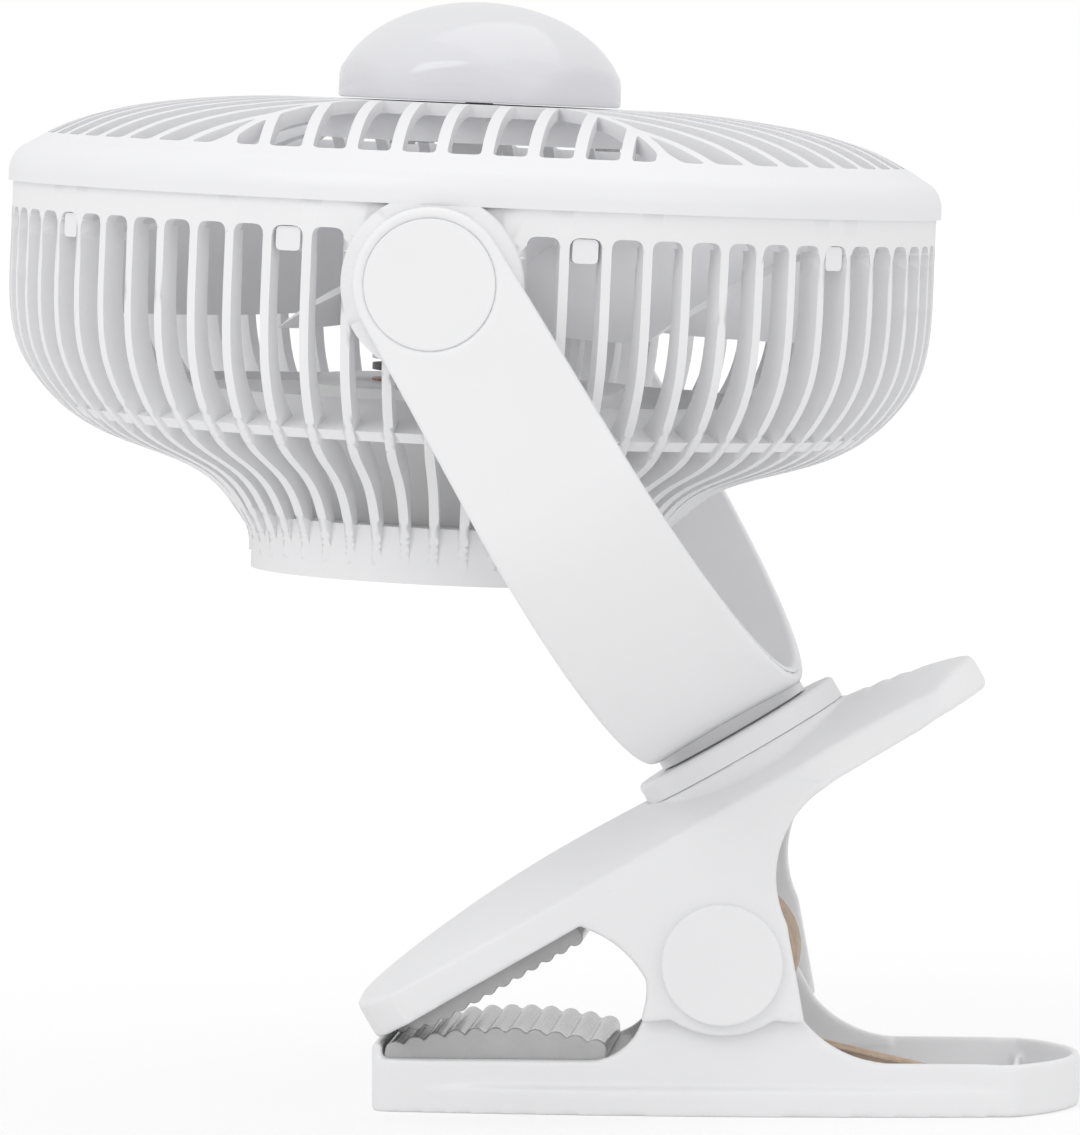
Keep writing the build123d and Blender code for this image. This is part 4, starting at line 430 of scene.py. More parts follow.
FINISHES: dict[Slot, Finish] = {
    Slot.WHITE: MouldedPlastic((0.87, 0.87, 0.88)),
    Slot.GRILLE: MouldedPlastic((0.86, 0.86, 0.88), roughness=0.36),
    Slot.KNOB: MouldedPlastic(
        (0.74, 0.74, 0.77), roughness=0.16, coat=0.6, grain_depth=0.0005 * MM
    ),
    Slot.IMPELLER: MouldedPlastic((0.87, 0.87, 0.89), roughness=0.34),
    Slot.INNER: MouldedPlastic((0.86, 0.86, 0.86), roughness=0.5),
    Slot.PAD: Rubber((0.52, 0.52, 0.52), (0.38, 0.38, 0.38)),
    Slot.STEEL: Metal((0.66, 0.66, 0.67), (0.56, 0.56, 0.57)),
    Slot.SPRING: Metal((0.58, 0.47, 0.38), (0.36, 0.26, 0.18), roughness=0.3),
    Slot.NYLON: MouldedPlastic((0.70, 0.69, 0.66), roughness=0.5),
    Slot.CELL: MouldedPlastic((0.05, 0.17, 0.34), roughness=0.3),
    Slot.CONTACT: Metal((0.72, 0.53, 0.24), (0.60, 0.42, 0.18)),
    Slot.BOARD: Laminate((0.30, 0.12, 0.04), (0.52, 0.24, 0.07)),
    Slot.BLACK: MouldedPlastic((0.015, 0.015, 0.016), roughness=0.35),
    Slot.LEAD: MouldedPlastic((0.02, 0.02, 0.02), roughness=0.55),
    Slot.MAGNET: Metal((0.12, 0.12, 0.13), (0.08, 0.08, 0.09), roughness=0.5),
    Slot.COPPER: Metal((0.70, 0.28, 0.10), (0.55, 0.20, 0.06), roughness=0.3),
}


@dataclass
class Paint:
    """The materials, one for each slot, made when they are first asked for."""

    made: dict[Slot, bpy.types.Material] = field(default_factory=dict)

    def of(self, slot: Slot) -> bpy.types.Material:
        """Material of a slot.

        Args:
            slot: The slot.

        Returns:
            Its material.
        """
        if slot not in self.made:
            self.made[slot] = FINISHES[slot].material(slot.value)
        return self.made[slot]

    def dress(self, piece: bpy.types.Object, slot: Slot) -> None:
        """Gives a piece a slot's material.

        Args:
            piece: The piece.
            slot: The slot.
        """
        piece.data.materials.clear()
        piece.data.materials.append(self.of(slot))


# ------------------------------------------------------------------- mesh making
def mesh_object(
    name: str, shape: bmesh.types.BMesh, smooth_below: float = 35.0
) -> bpy.types.Object:
    """Makes an object of a finished shape.

    Args:
        name: The object's name.
        shape: The shape, which is freed.
        smooth_below: Edges that turn by less than this many degrees are smooth.

    Returns:
        The object, linked to the scene.
    """
    bmesh.ops.recalc_face_normals(shape, faces=shape.faces)
    mesh = bpy.data.meshes.new(name)
    shape.to_mesh(mesh)
    shape.free()
    piece = bpy.data.objects.new(name, mesh)
    bpy.context.scene.collection.objects.link(piece)
    mesh.shade_smooth()
    mesh.set_sharp_from_angle(angle=math.radians(smooth_below))
    return piece


def copy_of(name: str, source: bpy.types.Object) -> bpy.types.Object:
    """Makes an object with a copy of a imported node's mesh.

    Args:
        name: The object's name.
        source: The node.

    Returns:
        The object, linked to the scene.
    """
    piece = bpy.data.objects.new(name, source.data.copy())
    bpy.context.scene.collection.objects.link(piece)
    return piece


def apply_modifiers(piece: bpy.types.Object) -> None:
    """Bakes a piece's modifiers into its mesh.

    Args:
        piece: The piece.
    """
    graph = bpy.context.evaluated_depsgraph_get()
    graph.update()
    mesh = bpy.data.meshes.new_from_object(piece.evaluated_get(graph))
    piece.modifiers.clear()
    piece.data = mesh


def even_shading(piece: bpy.types.Object) -> None:
    """Smooths a piece's shading at its blunt edges, led by its larger faces.

    Args:
        piece: The piece.
    """
    piece.data.shade_smooth()
    piece.data.set_sharp_from_angle(angle=math.radians(SHARP_ANGLE))
    piece.modifiers.new("normals", "WEIGHTED_NORMAL").keep_sharp = True
    apply_modifiers(piece)


def combine(piece: bpy.types.Object, tool: bpy.types.Object, operation: str) -> None:
    """Cuts a tool from a piece or joins it to the piece, and deletes the tool.

    Args:
        piece: The piece.
        tool: The tool.
        operation: DIFFERENCE or UNION.
    """
    change = piece.modifiers.new(operation.lower(), "BOOLEAN")
    change.operation, change.object, change.solver = operation, tool, "EXACT"
    apply_modifiers(piece)
    bpy.data.objects.remove(tool)


def skin_rings(
    shape: bmesh.types.BMesh, rings: Sequence[Sequence[Vector]], closed: bool = False
) -> None:
    """Joins rings of as many points each by faces.

    Args:
        shape: The shape that takes the faces.
        rings: The rings, in order.
        closed: Whether the last ring joins the first; otherwise both ends are capped.
    """
    loops = [[shape.verts.new(point) for point in ring] for ring in rings]
    count = len(loops[0])
    pairs = list(zip(loops, loops[1:]))
    if closed:
        pairs.append((loops[-1], loops[0]))
    for low, high in pairs:
        for here in range(count):
            there = (here + 1) % count
            shape.faces.new((low[here], low[there], high[there], high[here]))
    if not closed:
        shape.faces.new(reversed(loops[0]))
        shape.faces.new(loops[-1])


def straight_solids(
    name: str, outlines: Iterable[Sequence[Vector]], lifts: Iterable[Vector]
) -> bpy.types.Object:
    """Makes straight solids over outlines.

    Args:
        name: The object's name.
        outlines: The outlines.
        lifts: How far and which way each is drawn out.

    Returns:
        One object with all the solids.
    """
    shape = bmesh.new()
    for outline, lift in zip(outlines, lifts):
        skin_rings(shape, [outline, [point + lift for point in outline]])
    return mesh_object(name, shape)


def tube(name: str, path: Sequence[Vector], radius: float, sides: int = 14) -> bpy.types.Object:
    """Makes round wire along a path.

    Args:
        name: The piece's name.
        path: Points along its middle.
        radius: Its radius.
        sides: Faces round it.

    Returns:
        The wire.
    """
    shape = bmesh.new()
    across = (path[1] - path[0]).orthogonal().normalized()
    rings = []
    for place, point in enumerate(path):
        before, after = path[max(place - 1, 0)], path[min(place + 1, len(path) - 1)]
        ahead = (after - before).normalized()
        across = (across - ahead * across.dot(ahead)).normalized()
        side = ahead.cross(across)
        turns = (math.tau * step / sides for step in range(sides))
        rings.append([point + (across * math.cos(t) + side * math.sin(t)) * radius for t in turns])
    skin_rings(shape, rings)
    return mesh_object(name, shape, smooth_below=50.0)


# ---------------------------------------------------------------------- outlines
def smooth_through(
    points: Sequence[Point], start: Point, end: Point, steps: int = 8
) -> list[Point]:
    """Samples a smooth curve through points.

    Args:
        points: The points, in order.
        start: Direction at the first point, of length 1.
        end: Direction at the last point, of length 1.
        steps: Samples between one point and the next.

    Returns:
        The samples, the given points among them.
    """
    places = [Vector(point) for point in points]
    chords = [after - before for before, after in zip(places, places[1:])]
    slopes = [Vector(start)]
    for before, after in zip(chords, chords[1:]):
        first, second = before.length, after.length
        slopes.append((before / first * second + after / second * first) / (first + second))
    slopes.append(Vector(end))
    samples = [places[0]]
    for place, chord, leaving, arriving in zip(places, chords, slopes, slopes[1:]):
        for step in range(1, steps + 1):
            t = step / steps
            bend = leaving * (t * (1 - t) ** 2) + arriving * (t * t * (t - 1))
            samples.append(place + chord * (t * t * (3 - 2 * t)) + bend * chord.length)
    return [(sample.x, sample.y) for sample in samples]


def rounded(outline: Sequence[Point], radius: float) -> list[Point]:
    """Rounds the sharp corners of a closed outline.

    Args:
        outline: The outline's points.
        radius: How far from a corner its rounding starts.

    Returns:
        The rounded outline.
    """
    result: list[Point] = []
    places = [Vector(point) for point in outline]
    for here, place in enumerate(places):
        before = (places[here - 1] - place).normalized()
        after = (places[(here + 1) % len(places)] - place).normalized()
        if before.angle(-after) < math.radians(LEAST_CORNER):
            result.append((place.x, place.y))
            continue
        for step in range(CORNER_STEPS + 1):
            t = step / CORNER_STEPS
            point = place + before * (radius * (1 - t) ** 2) + after * (radius * t * t)
            result.append((point.x, point.y))
    return result


# --------------------------------------------------------------------- placement
@dataclass(frozen=True)
class Layout:
    """Directions and places that pieces share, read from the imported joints."""

    pin: Vector  # the middle of the clip's pin, in metres
    upright: Vector  # square to the lever's slope
    along: Vector  # up the lever's slope
    head_foot: Vector  # where the head's axis meets its seam, in metres
    head_up: Vector  # along the head's axis, out of its front
    head_x: Vector

    @classmethod
    def of(cls, frame: Mapping[str, object]) -> Layout:
        """Reads the layout from the frame.


        Returns:
            The layout.
        """
        joints = {joint["name"]: joint for joint in frame["joints"]}
        upright = Vector(joints["yoke_swivel"]["axis"]).normalized()
        head_up = Vector(joints["impeller_spin"]["axis"]).normalized()
        across = Vector((0, 1, 0))
        return cls(
            pin=Vector(joints["clip_open"]["pos_m"]),
            upright=upright,
            along=across.cross(upright),
            head_foot=Vector(joints["impeller_spin"]["pos_m"]),
            head_up=head_up,
            head_x=across.cross(head_up),
        )

    def on_slope(self, u: float, y: float, n: float) -> Vector:
        """Point by its place along the lever's slope, across and square to it, in millimetres."""
        return (self.along * u + self.upright * n + Vector((0, y, 0))) * MM

    def on_head(self, x: float, y: float, height: float) -> Vector:
        """Point on the fan head, above its seam, in millimetres."""
        return self.head_foot + (self.head_x * x + self.head_up * height + Vector((0, y, 0))) * MM

    def round_head(self, radius: float, angle: float, height: float) -> Vector:
        """Point on the fan head by radius, angle in radians and height above its seam."""
        return self.on_head(radius * math.cos(angle), radius * math.sin(angle), height)


# --------------------------------------------------------------------- the clip
@dataclass
class TorsionSpring:
    """The clip's wound spring: one wire with a leg under the lever and one in the tray."""

    layout: Layout
    paint: Paint
    wire: float = 2.4
    outer_radius: float = 15.0
    turns: int = 7
    pitch: float = 2.95
    lever_leg: Point = (56.0, 58.6)  # its end along the lever's slope and square to it
    tray_leg: Point = (57.0, 4.8)  # its end along the base and above the floor
    steps_a_turn: int = 40

    @property
    def mean_radius(self) -> float:
        """Radius of the wire's middle line."""
        return self.outer_radius - self.wire / 2

    def _touch(self, leg: Point, side: int) -> float:
        """Angle, in degrees, at which a straight leg touches the coil.

        Args:
            leg: The leg's far end, as X and height above the pin.
            side: Which of the two touching lines.

        Returns:
            The angle.
        """
        reach = math.hypot(*leg)
        return math.degrees(math.atan2(leg[1], leg[0]) + side * math.acos(self.mean_radius / reach))

    def _coil(self, start: float, sweep: float, first_y: float) -> list[Vector]:
        """Points along the coil.

        Args:
            start: The angle at which it begins, in degrees.
            sweep: How far it winds, in degrees.
            first_y: Where it begins along the pin.

        Returns:
            The points, in millimetres.
        """
        pin_z = self.layout.pin.z / MM
        steps = round(self.steps_a_turn * sweep / 360)
        points = []
        for step in range(steps + 1):
            turn = math.radians(start + sweep * step / steps)
            along = self.mean_radius * math.cos(turn)
            across = first_y - self.pitch * sweep * step / steps / 360
            points.append(Vector((along, across, pin_z + self.mean_radius * math.sin(turn))))
        return points

    def build(self) -> bpy.types.Object:
        """Winds the wire round the pin, from under the lever down to the base.

        Returns:
            The spring.
        """
        pin = self.layout.pin
        lever_end = self.layout.on_slope(self.lever_leg[0], 0, self.lever_leg[1]) / MM
        start = self._touch((lever_end.x, lever_end.z - pin.z / MM), 1)
        stop = self._touch((self.tray_leg[0], self.tray_leg[1] - pin.z / MM), -1)
        sweep = 360 * self.turns + (stop - start) % 360
        leg_y = self.pitch * (self.turns + 1) / 2
        coil = self._coil(start, sweep, leg_y)
        first = Vector((lever_end.x, leg_y, lever_end.z))
        last = Vector((self.tray_leg[0], coil[-1].y, self.tray_leg[1]))
        path = [point * MM for point in (first, *coil, last)]
        spring = tube("torsion_spring", path, self.wire / 2 * MM)
        self.paint.dress(spring, Slot.SPRING)
        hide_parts("clip_spring")
        over_pin = pin + Vector((0, 0, self.mean_radius * MM))
        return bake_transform(spring)


# --------------------------------------------------------------------- the knob
@dataclass
class Knob:
    """The speed knob: half of a flattened ball with a wavy six-lobed skirt."""

    layout: Layout
    paint: Paint
    radius: float = 31.2
    ridge: float = 30.4
    valley: float = 29.1
    flutes: int = 6
    ridge_angle: float = -124.0  # one ridge, in degrees, from the head's X
    base: float = 20.8
    top: float = 42.2
    wall: float = 2.2
    stem: float = 5.6
    stem_lift: float = 1.0  # from the base up to the stem's foot
    edge: float = 0.9
    edge_drop: float = 0.6  # this and the next four as shares of the edge
    edge_inset: float = 0.3
    edge_swell: float = 0.16
    side_drop: float = 0.2
    foot_rounding: float = 0.4
    spokes: int = 240
    dome_steps: int = 22

    def _outline(self, angle: float) -> float:
        """Radius of the skirt at an angle in radians."""
        mean, swing = (self.ridge + self.valley) / 2, (self.ridge - self.valley) / 2
        return mean + swing * math.cos(self.flutes * (angle - math.radians(self.ridge_angle)))

    def _dome(self, radius: float) -> float:
        """Height of the flattened ball above the seam at a radius."""
        share = math.sqrt(max(0.0, 1 - (radius / self.radius) ** 2))
        return self.base + (self.top - self.base) * share

    def _spoke(self, angle: float) -> list[Point]:
        """Section at an angle, from near the axis round the skirt and up to the stem.

        Args:
            angle: The angle, in radians.

        Returns:
            Its points, as radius and height above the seam.
        """
        reach, edge, foot = self._outline(angle), self.edge, self.base + self.stem_lift
        points = []
        for step in range(1, self.dome_steps + 1):
            radius = (reach - edge) * math.sin(math.pi / 2 * step / self.dome_steps)
            points.append((radius, self._dome(radius)))
        shoulder = self._dome(reach) - edge * self.edge_drop
        swell = (points[-1][1] + shoulder) / 2 + edge * self.edge_swell
        return points + [
            (reach - edge * self.edge_inset, swell),
            (reach, shoulder - edge * self.side_drop),
            (reach, self.base + edge * self.foot_rounding),
            (reach - edge * self.foot_rounding, self.base),
            (reach - self.wall, self.base),
            (reach - self.wall, max(foot, shoulder - 2 * self.wall)),
            (self.stem, self._dome(self.stem) - self.wall),
            (self.stem, foot),
        ]

    def build(self) -> bpy.types.Object:
        """Builds the knob with its hollow underside and stem.

        Returns:
            The knob.
        """
        shape = bmesh.new()
        loops = []
        for spoke in range(self.spokes):
            angle = math.tau * spoke / self.spokes
            points = [self.layout.round_head(r, angle, h) for r, h in self._spoke(angle)]
            loops.append([shape.verts.new(point) for point in points])
        for low, high in zip(loops, loops[1:] + loops[:1]):
            for here in range(len(low) - 1):
                shape.faces.new((low[here], low[here + 1], high[here + 1], high[here]))
        shape.faces.new([loop[0] for loop in loops])
        shape.faces.new([loop[-1] for loop in reversed(loops)])
        knob = mesh_object("speed_knob", shape, smooth_below=60.0)
        self.paint.dress(knob, Slot.KNOB)
        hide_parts("control_knob")
        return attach(knob, "knob")


# ------------------------------------------------------------- the grille and cage
@dataclass(frozen=True)
class Upright:
    """Rounded blocks that stand round the head, each drawn out along its radius."""

    width: float
    heights: Point  # of the lower and the upper end above the seam
    radii: Point  # of the inner and the outer face
    corner: float

    def blocks(self, name: str, layout: Layout, angles: Iterable[float]) -> bpy.types.Object:
        """Builds the blocks.

        Args:
            name: The object's name.
            layout: Where the head lies.
            angles: Where they stand, in radians.

        Returns:
            One object with all the blocks.
        """
        half, (low, high), (near, far) = self.width / 2, self.heights, self.radii
        face = rounded([(-half, low), (half, low), (half, high), (-half, high)], self.corner)
        outlines, lifts = [], []
        for angle in angles:
            out = Vector((math.cos(angle), math.sin(angle)))
            side = Vector((-out.y, out.x))
            lifts.append((layout.head_x * out.x + Vector((0, out.y, 0))) * (far - near) * MM)
            outlines.append([layout.on_head(*(out * near + side * x), z) for x, z in face])
        return straight_solids(name, outlines, lifts)


@dataclass
class Grille:
    """The domed front grille: groups of straight parallel bars, and the snap hooks below it."""

    layout: Layout
    paint: Paint
    rim: float = 100.0
    rim_inside: float = 97.4
    dome: tuple[Point, ...] = (  # outside, from the rim inward: radius, height above the seam
        (100.0, 2.2),
        (98.6, 6.2),
        (94.9, 8.8),
        (85.2, 13.7),
        (75.5, 16.6),
        (62.4, 18.8),
        (38.0, 20.4),
    )
    dome_ends: tuple[Point, Point] = ((0.0, 1.0), (-1.0, 0.0))  # its directions there
    under: tuple[Point, ...] = ((36.5, 17.8), (75.0, 13.2), (90.0, 7.6), (97.4, 1.8))
    under_ends: tuple[Point, Point] = ((1.0, 0.0), (0.15, -0.99))
    hole: Point = (5.0, 20.4)  # upper edge of the hole for the control's bush
    hub_wall: tuple[Point, ...] = ((5.0, 17.8), (34.7, 17.8), (34.7, 12.2), (36.5, 12.2))
    sections: int = 240
    groups: int = 6
    first_group: float = -90.0  # middle of one group, in degrees, from the head's X
    bars: int = 9
    pitch: float = 9.3
    bar: float = 2.4
    spine: float = 2.4  # radial bars between the groups
    slot_inside: float = 40.0
    slot_outside: float = 92.0
    slot_steps: int = 4
    last_slot_end: float = 43.2
    last_slot_steps: int = 2
    corner: float = 1.3
    cutter_height: float = 24.0
    hooks: int = 10
    hook_arm: Upright = Upright(5.4, heights=(-10.65, 6.0), radii=(94.65, 96.25), corner=0.6)
    hook_nose: Upright = Upright(5.4, heights=(-10.65, -5.65), radii=(96.2, 98.45), corner=1.2)

    def _plain_dome(self) -> bpy.types.Object:
        """Builds the dome without its slots, with the wall round its hub.

        Returns:
            The dome.
        """
        outside = smooth_through(self.dome, *self.dome_ends)
        underside = smooth_through(self.under, *self.under_ends)
        section = [(self.rim, 0.0), *outside, self.hole, *self.hub_wall, *underside]
        section.append((self.rim_inside, 0.0))
        shape = bmesh.new()
        angles = [math.tau * step / self.sections for step in range(self.sections)]
        rings = [[self.layout.round_head(r, angle, h) for r, h in section] for angle in angles]
        skin_rings(shape, rings, closed=True)
        return mesh_object("grille", shape)

    def _slot(self, low: float, high: float, steps: int) -> list[Point]:
        """Outline of one slot of a group, as distance out along the group and across it.

        Args:
            low: Where it starts across the group.
            high: Where it ends.
            steps: Stretches along each of its ends.

        Returns:
            The rounded outline.
        """
        half = math.pi / self.groups
        apex = self.spine / 2 / math.sin(half)
        inner, outer = [], []
        for step in range(steps + 1):
            across = low + (high - low) * step / steps
            ring = math.sqrt(max(self.slot_inside**2 - across**2, 0.0))
            inner.append((max(ring, apex + abs(across) / math.tan(half)), across))
            outer.append((math.sqrt(self.slot_outside**2 - across**2), across))
        return rounded(inner + outer[::-1], self.corner)

    def _slots(self) -> list[list[Point]]:
        """Outlines of all slots of one group: those between its bars, and the outermost two.

        Returns:
            The outlines.
        """
        middle, half_bar = self.bars // 2, self.bar / 2
        starts = [(bar - middle) * self.pitch + half_bar for bar in range(self.bars)]
        pairs = zip(starts, starts[1:])
        found = [self._slot(low, high - self.bar, self.slot_steps) for low, high in pairs]
        outermost = (starts[-1], self.last_slot_end), (-self.last_slot_end, -starts[-1])
        return found + [self._slot(low, high, self.last_slot_steps) for low, high in outermost]

    def _cutters(self) -> bpy.types.Object:
        """Builds straight solids that cut all the slots.

        Returns:
            One object with all of them.
        """
        outlines = []
        for group in range(self.groups):
            turn = math.tau * group / self.groups + math.radians(self.first_group)
            cos, sin = math.cos(turn), math.sin(turn)
            for slot in self._slots():
                places = [(u * cos - v * sin, u * sin + v * cos) for u, v in slot]
                outlines.append([self.layout.on_head(x, y, 0) for x, y in places])
        lift = self.layout.head_up * self.cutter_height * MM
        return straight_solids("slots", outlines, [lift] * len(outlines))

    def build(self) -> bpy.types.Object:
        """Builds the grille.

        Returns:
            The grille.
        """
        grille = self._plain_dome()
        combine(grille, self._cutters(), "DIFFERENCE")
        places = [math.tau * hook / self.hooks for hook in range(self.hooks)]
        for name, hook in (("arms", self.hook_arm), ("noses", self.hook_nose)):
            combine(grille, hook.blocks(name, self.layout, places), "UNION")
        even_shading(grille)
        self.paint.dress(grille, Slot.GRILLE)
        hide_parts("front_grille")
        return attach(grille, "head")


@dataclass
class Cage:
    """The rear cage, with slots that reach up to a narrow band."""

    layout: Layout
    paint: Paint
    source: bpy.types.Object
    slots: int = 70
    slot_top: Upright = Upright(6.886, heights=(-12.5, -5.5), radii=(94.0, 102.0), corner=2.2)
    pivot_clear: float = 0.98  # slots whose angle has a larger sine lie beside a pivot

    def build(self) -> bpy.types.Object:
        """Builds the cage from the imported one.

        Returns:
            The cage.
        """
        cage = copy_of("cage", self.source)
        step = math.tau / self.slots
        every = [math.pi / 2 + (slot + 0.5) * step for slot in range(self.slots)]
        angles = [angle for angle in every if abs(math.sin(angle)) < self.pivot_clear]
        combine(cage, self.slot_top.blocks("slot_tops", self.layout, angles), "DIFFERENCE")
        even_shading(cage)
        self.paint.dress(cage, Slot.WHITE)
        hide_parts("rear_cage")
        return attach(cage, "head")


# ------------------------------------------------------------------- soft shells
@dataclass(frozen=True)
class SoftShell:
    """A moulded shell whose edges are evenly rounded, in place of its plain node."""

    node: str
    slot: Slot = Slot.WHITE
    voxel: float = 0.55
    passes: int = 5
    factor: float = 0.5
    keep: float = 0.4
    rounder: Callable[[Layout, Vector], float] | None = None
    more_passes: int = 0

    def _relax(self, shell: bpy.types.Object, passes: int, group: str = "") -> None:
        """Adds passes that draw each point towards its neighbours.

        Args:
            shell: The shell.
            passes: How many.
            group: The group of points that they move, or all points.
        """
        relaxed = shell.modifiers.new("relaxed", "SMOOTH")
        relaxed.factor, relaxed.iterations, relaxed.vertex_group = self.factor, passes, group

    def _mark(self, shell: bpy.types.Object, layout: Layout) -> str:
        """Groups the points of a shell that are rounded more.

        Args:
            shell: The shell.
            layout: Where the lever's slope lies.

        Returns:
            The group's name.
        """
        group = shell.vertex_groups.new(name="rounder")
        for vertex in shell.data.vertices:
            weight = self.rounder(layout, vertex.co / MM)
            if weight > 0:
                group.add([vertex.index], weight, "REPLACE")
        return group.name

    def build(
        self, nodes: Mapping[str, bpy.types.Object], layout: Layout, paint: Paint
    ) -> bpy.types.Object:
        """Builds the shell on an even grid of faces, relaxes it and thins the faces out.

        Args:
            nodes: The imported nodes.
            layout: Where the lever's slope lies.
            paint: The materials.

        Returns:
            The shell.
        """
        source = nodes[self.node]
        shell = copy_of(f"{self.node}_shell", source)
        grid = shell.modifiers.new("even_grid", "REMESH")
        grid.mode, grid.voxel_size = "VOXEL", self.voxel * MM
        apply_modifiers(shell)
        if self.rounder:
            self._relax(shell, self.more_passes, self._mark(shell, layout))
        self._relax(shell, self.passes)
        shell.modifiers.new("thinned", "DECIMATE").ratio = self.keep
        apply_modifiers(shell)
        shell.vertex_groups.clear()
        shell.data.shade_smooth()
        paint.dress(shell, self.slot)
        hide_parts(self.node)
        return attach(shell, source["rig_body"])


LEVER_NOSE = -49.0  # along the lever's slope, in millimetres; the nose lies before it
NOSE_SHARE = 0.35  # of the handle's rounding
HANDLE_END = (77.0, 81.0)  # along the slope; rounding starts at the first and is full at the last
BASE_END = 56.0  # X in millimetres; the base's round end lies past it


def lever_ends(layout: Layout, point: Vector) -> float:
    """How much a point of the lever is rounded.

    Args:
        layout: Where the lever's slope lies.
        point: The point, in millimetres.

    Returns:
        1 at the handle's end, less at the nose, and 0 between them.
    """
    along = point.dot(layout.along)
    if along < LEVER_NOSE:
        return NOSE_SHARE
    start, full = HANDLE_END
    return min(max((along - start) / (full - start), 0.0), 1.0)


def base_end(_: Layout, point: Vector) -> float:
    """Whether a point of the base, in millimetres, lies at its round end: 1 or 0."""
    return float(point.x > BASE_END)


SHELLS = (
    SoftShell("yoke_outer"),
    SoftShell("clip_lever", passes=7, rounder=lever_ends, more_passes=60),
    SoftShell("clip_base", rounder=base_end, more_passes=12),
    SoftShell("lower_pad", Slot.PAD, voxel=0.4, passes=2),
    SoftShell("upper_pad", Slot.PAD, voxel=0.4, passes=2),
)


# -------------------------------------------------------------------- the studio
@dataclass(frozen=True)
class Lamp:
    """A soft square lamp, in metres and watts."""

    name: str
    place: tuple[float, float, float]
    side: float
    power: float


LAMPS = (
    Lamp("key", (-0.9, -1.3, 1.5), side=1.2, power=7.0),
    Lamp("top", (0.3, 0.3, 1.8), side=1.5, power=3.0),
    Lamp("fill", (1.4, -1.2, 0.7), side=1.2, power=1.5),
)


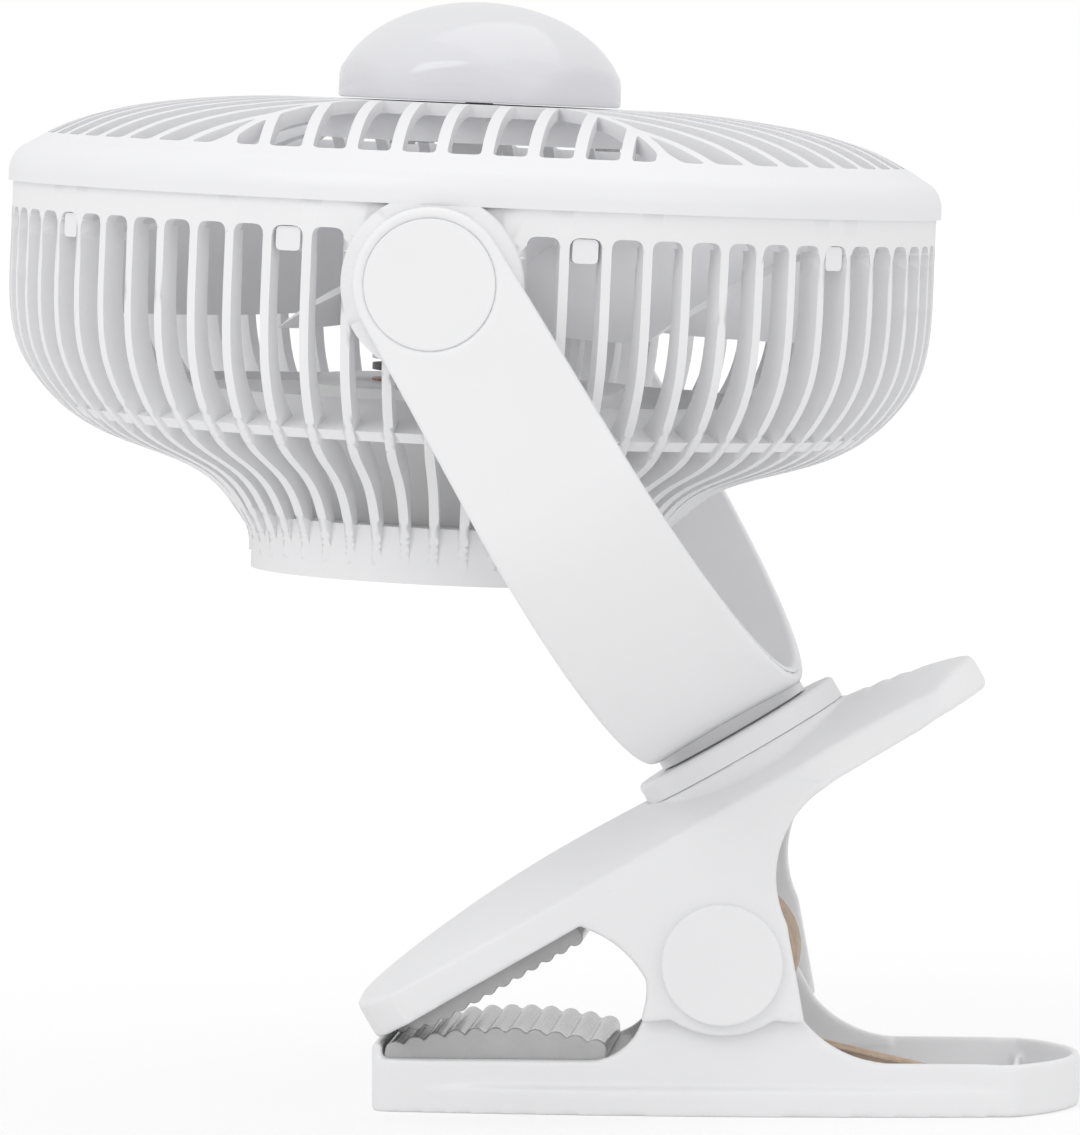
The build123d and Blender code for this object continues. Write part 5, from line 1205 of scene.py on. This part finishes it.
@dataclass
class Studio:
    """A pale floor, soft light and the camera."""

    picture: tuple[int, int] = (1080, 1135)
    scale: float = 0.215 * MM  # of a pixel at the object's middle plane
    focal: float = 8500.0  # in pixels
    azimuth: float = 4.16
    elevation: float = 3.2
    target: Vector = field(default_factory=lambda: Vector((-40.9, 0.0, 114.7)) * MM)
    sensor: float = 36.0
    sight: float = 100.0  # the camera sees from its distance over this to its distance times this
    ambient: float = 0.84
    floor_reach: float = 12.0
    floor_drop: float = 0.05 * MM
    floor_tone: float = 0.9
    floor_glow: float = 1.06
    shadow_near: Point = (0.25, 0.62)  # distance from the object, share of plain white
    shadow_gone: Point = (0.85, 1.0)

    def _camera(self) -> None:
        """Places the camera at the photograph's viewing angle."""
        data = bpy.data.cameras.new("camera")
        data.sensor_width = self.sensor
        data.lens = self.focal / max(self.picture) * self.sensor
        camera = bpy.data.objects.new("camera", data)
        turn, rise = math.radians(self.azimuth), math.radians(self.elevation)
        back = Vector(
            (math.sin(turn) * math.cos(rise), -math.cos(turn) * math.cos(rise), math.sin(rise))
        )
        distance = self.focal * self.scale
        camera.location = self.target + back * distance
        camera.rotation_euler = (-back).to_track_quat("-Z", "Y").to_euler()
        data.clip_start, data.clip_end = distance / self.sight, distance * self.sight
        bpy.context.scene.collection.objects.link(camera)
        bpy.context.scene.camera = camera

    def _light(self, lamp: Lamp) -> None:
        """Adds a lamp that faces the object.

        Args:
            lamp: The lamp.
        """
        data = bpy.data.lights.new(lamp.name, "AREA")
        data.size, data.energy = lamp.side, lamp.power
        light = bpy.data.objects.new(lamp.name, data)
        light.location = lamp.place
        aim = self.target - Vector(lamp.place)
        light.rotation_euler = aim.to_track_quat("-Z", "Y").to_euler()
        bpy.context.scene.collection.objects.link(light)

    def _world(self) -> None:
        """White backdrop to the eye, and an even soft light on the object."""
        world = bpy.data.worlds.new("studio")
        bpy.context.scene.world = world
        world.use_nodes = True
        graph = Graph(world.node_tree)
        rays = graph.add("ShaderNodeLightPath", output="Is Camera Ray")
        strength = rays * (1.0 - self.ambient) + self.ambient
        light = {"Color": PLAIN_WHITE, "Strength": strength}
        backdrop = graph.add("ShaderNodeBackground", inputs=light)
        graph.add("ShaderNodeOutputWorld", inputs={"Surface": backdrop})

    def _floor(self) -> None:
        """Pale floor that keeps the object's shadow and turns plain white further off."""
        shape = bmesh.new()
        bmesh.ops.create_grid(shape, x_segments=2, y_segments=2, size=self.floor_reach)
        floor = mesh_object("floor", shape)
        material, graph = new_material("floor")
        tone = (*[self.floor_tone] * 3, 1.0)
        diffuse = graph.add("ShaderNodeBsdfDiffuse", inputs={"Color": tone})
        glow = {"Color": PLAIN_WHITE, "Strength": self.floor_glow}
        white = graph.add("ShaderNodeEmission", inputs=glow)
        rays = graph.add("ShaderNodeLightPath", output="Is Camera Ray")
        length = {"operation": "LENGTH"}
        reach = graph.add("ShaderNodeVectorMath", length, {0: graph.place()}, "Value")
        limits = {"From Min": self.shadow_near[0], "From Max": self.shadow_gone[0]}
        levels = {"To Min": self.shadow_near[1], "To Max": self.shadow_gone[1]}
        fade = graph.add("ShaderNodeMapRange", inputs={"Value": reach, **limits, **levels})
        mixed = graph.add("ShaderNodeMixShader", inputs={0: rays * fade, 1: diffuse, 2: white})
        graph.add("ShaderNodeOutputMaterial", inputs={"Surface": mixed})
        floor.data.materials.append(material)
        floor.location.z = -self.floor_drop

    def build(self) -> None:
        """Sets the whole studio up."""
        bpy.context.scene.view_settings.view_transform = "Standard"
        self._camera()
        self._world()
        self._floor()
        for lamp in LAMPS:
            self._light(lamp)


# -------------------------------------------------------------------------- main
def dress_nodes(frame: Mapping[str, object], paint: Paint) -> None:
    """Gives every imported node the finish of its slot.

    Args:
        paint: The materials.
    """
    for part in frame["record"]["subparts"]:
        node = frame["nodes"][part["node"]]
        paint.dress(node, Slot(part["material_slot"]))
        node.data.shade_smooth()
        node.data.set_sharp_from_angle(angle=math.radians(SHARP_ANGLE))


def main() -> None:
    """Builds the looks in order."""
    logging.basicConfig(level=logging.INFO, format="%(message)s")
    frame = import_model()
    nodes = frame["nodes"]
    paint = Paint()
    dress_nodes(frame, paint)
    Studio().build()
    layout = Layout.of(frame)
    pieces = (
        TorsionSpring(layout, paint),
        Knob(layout, paint),
        Grille(layout, paint),
        Cage(layout, paint, nodes["rear_cage"]),
    )
    for piece in pieces:
        LOG.info("built %s", piece.build().name)
    for shell in SHELLS:
        LOG.info("built %s", shell.build(nodes, layout, paint).name)


if __name__ == "__main__":
    main()
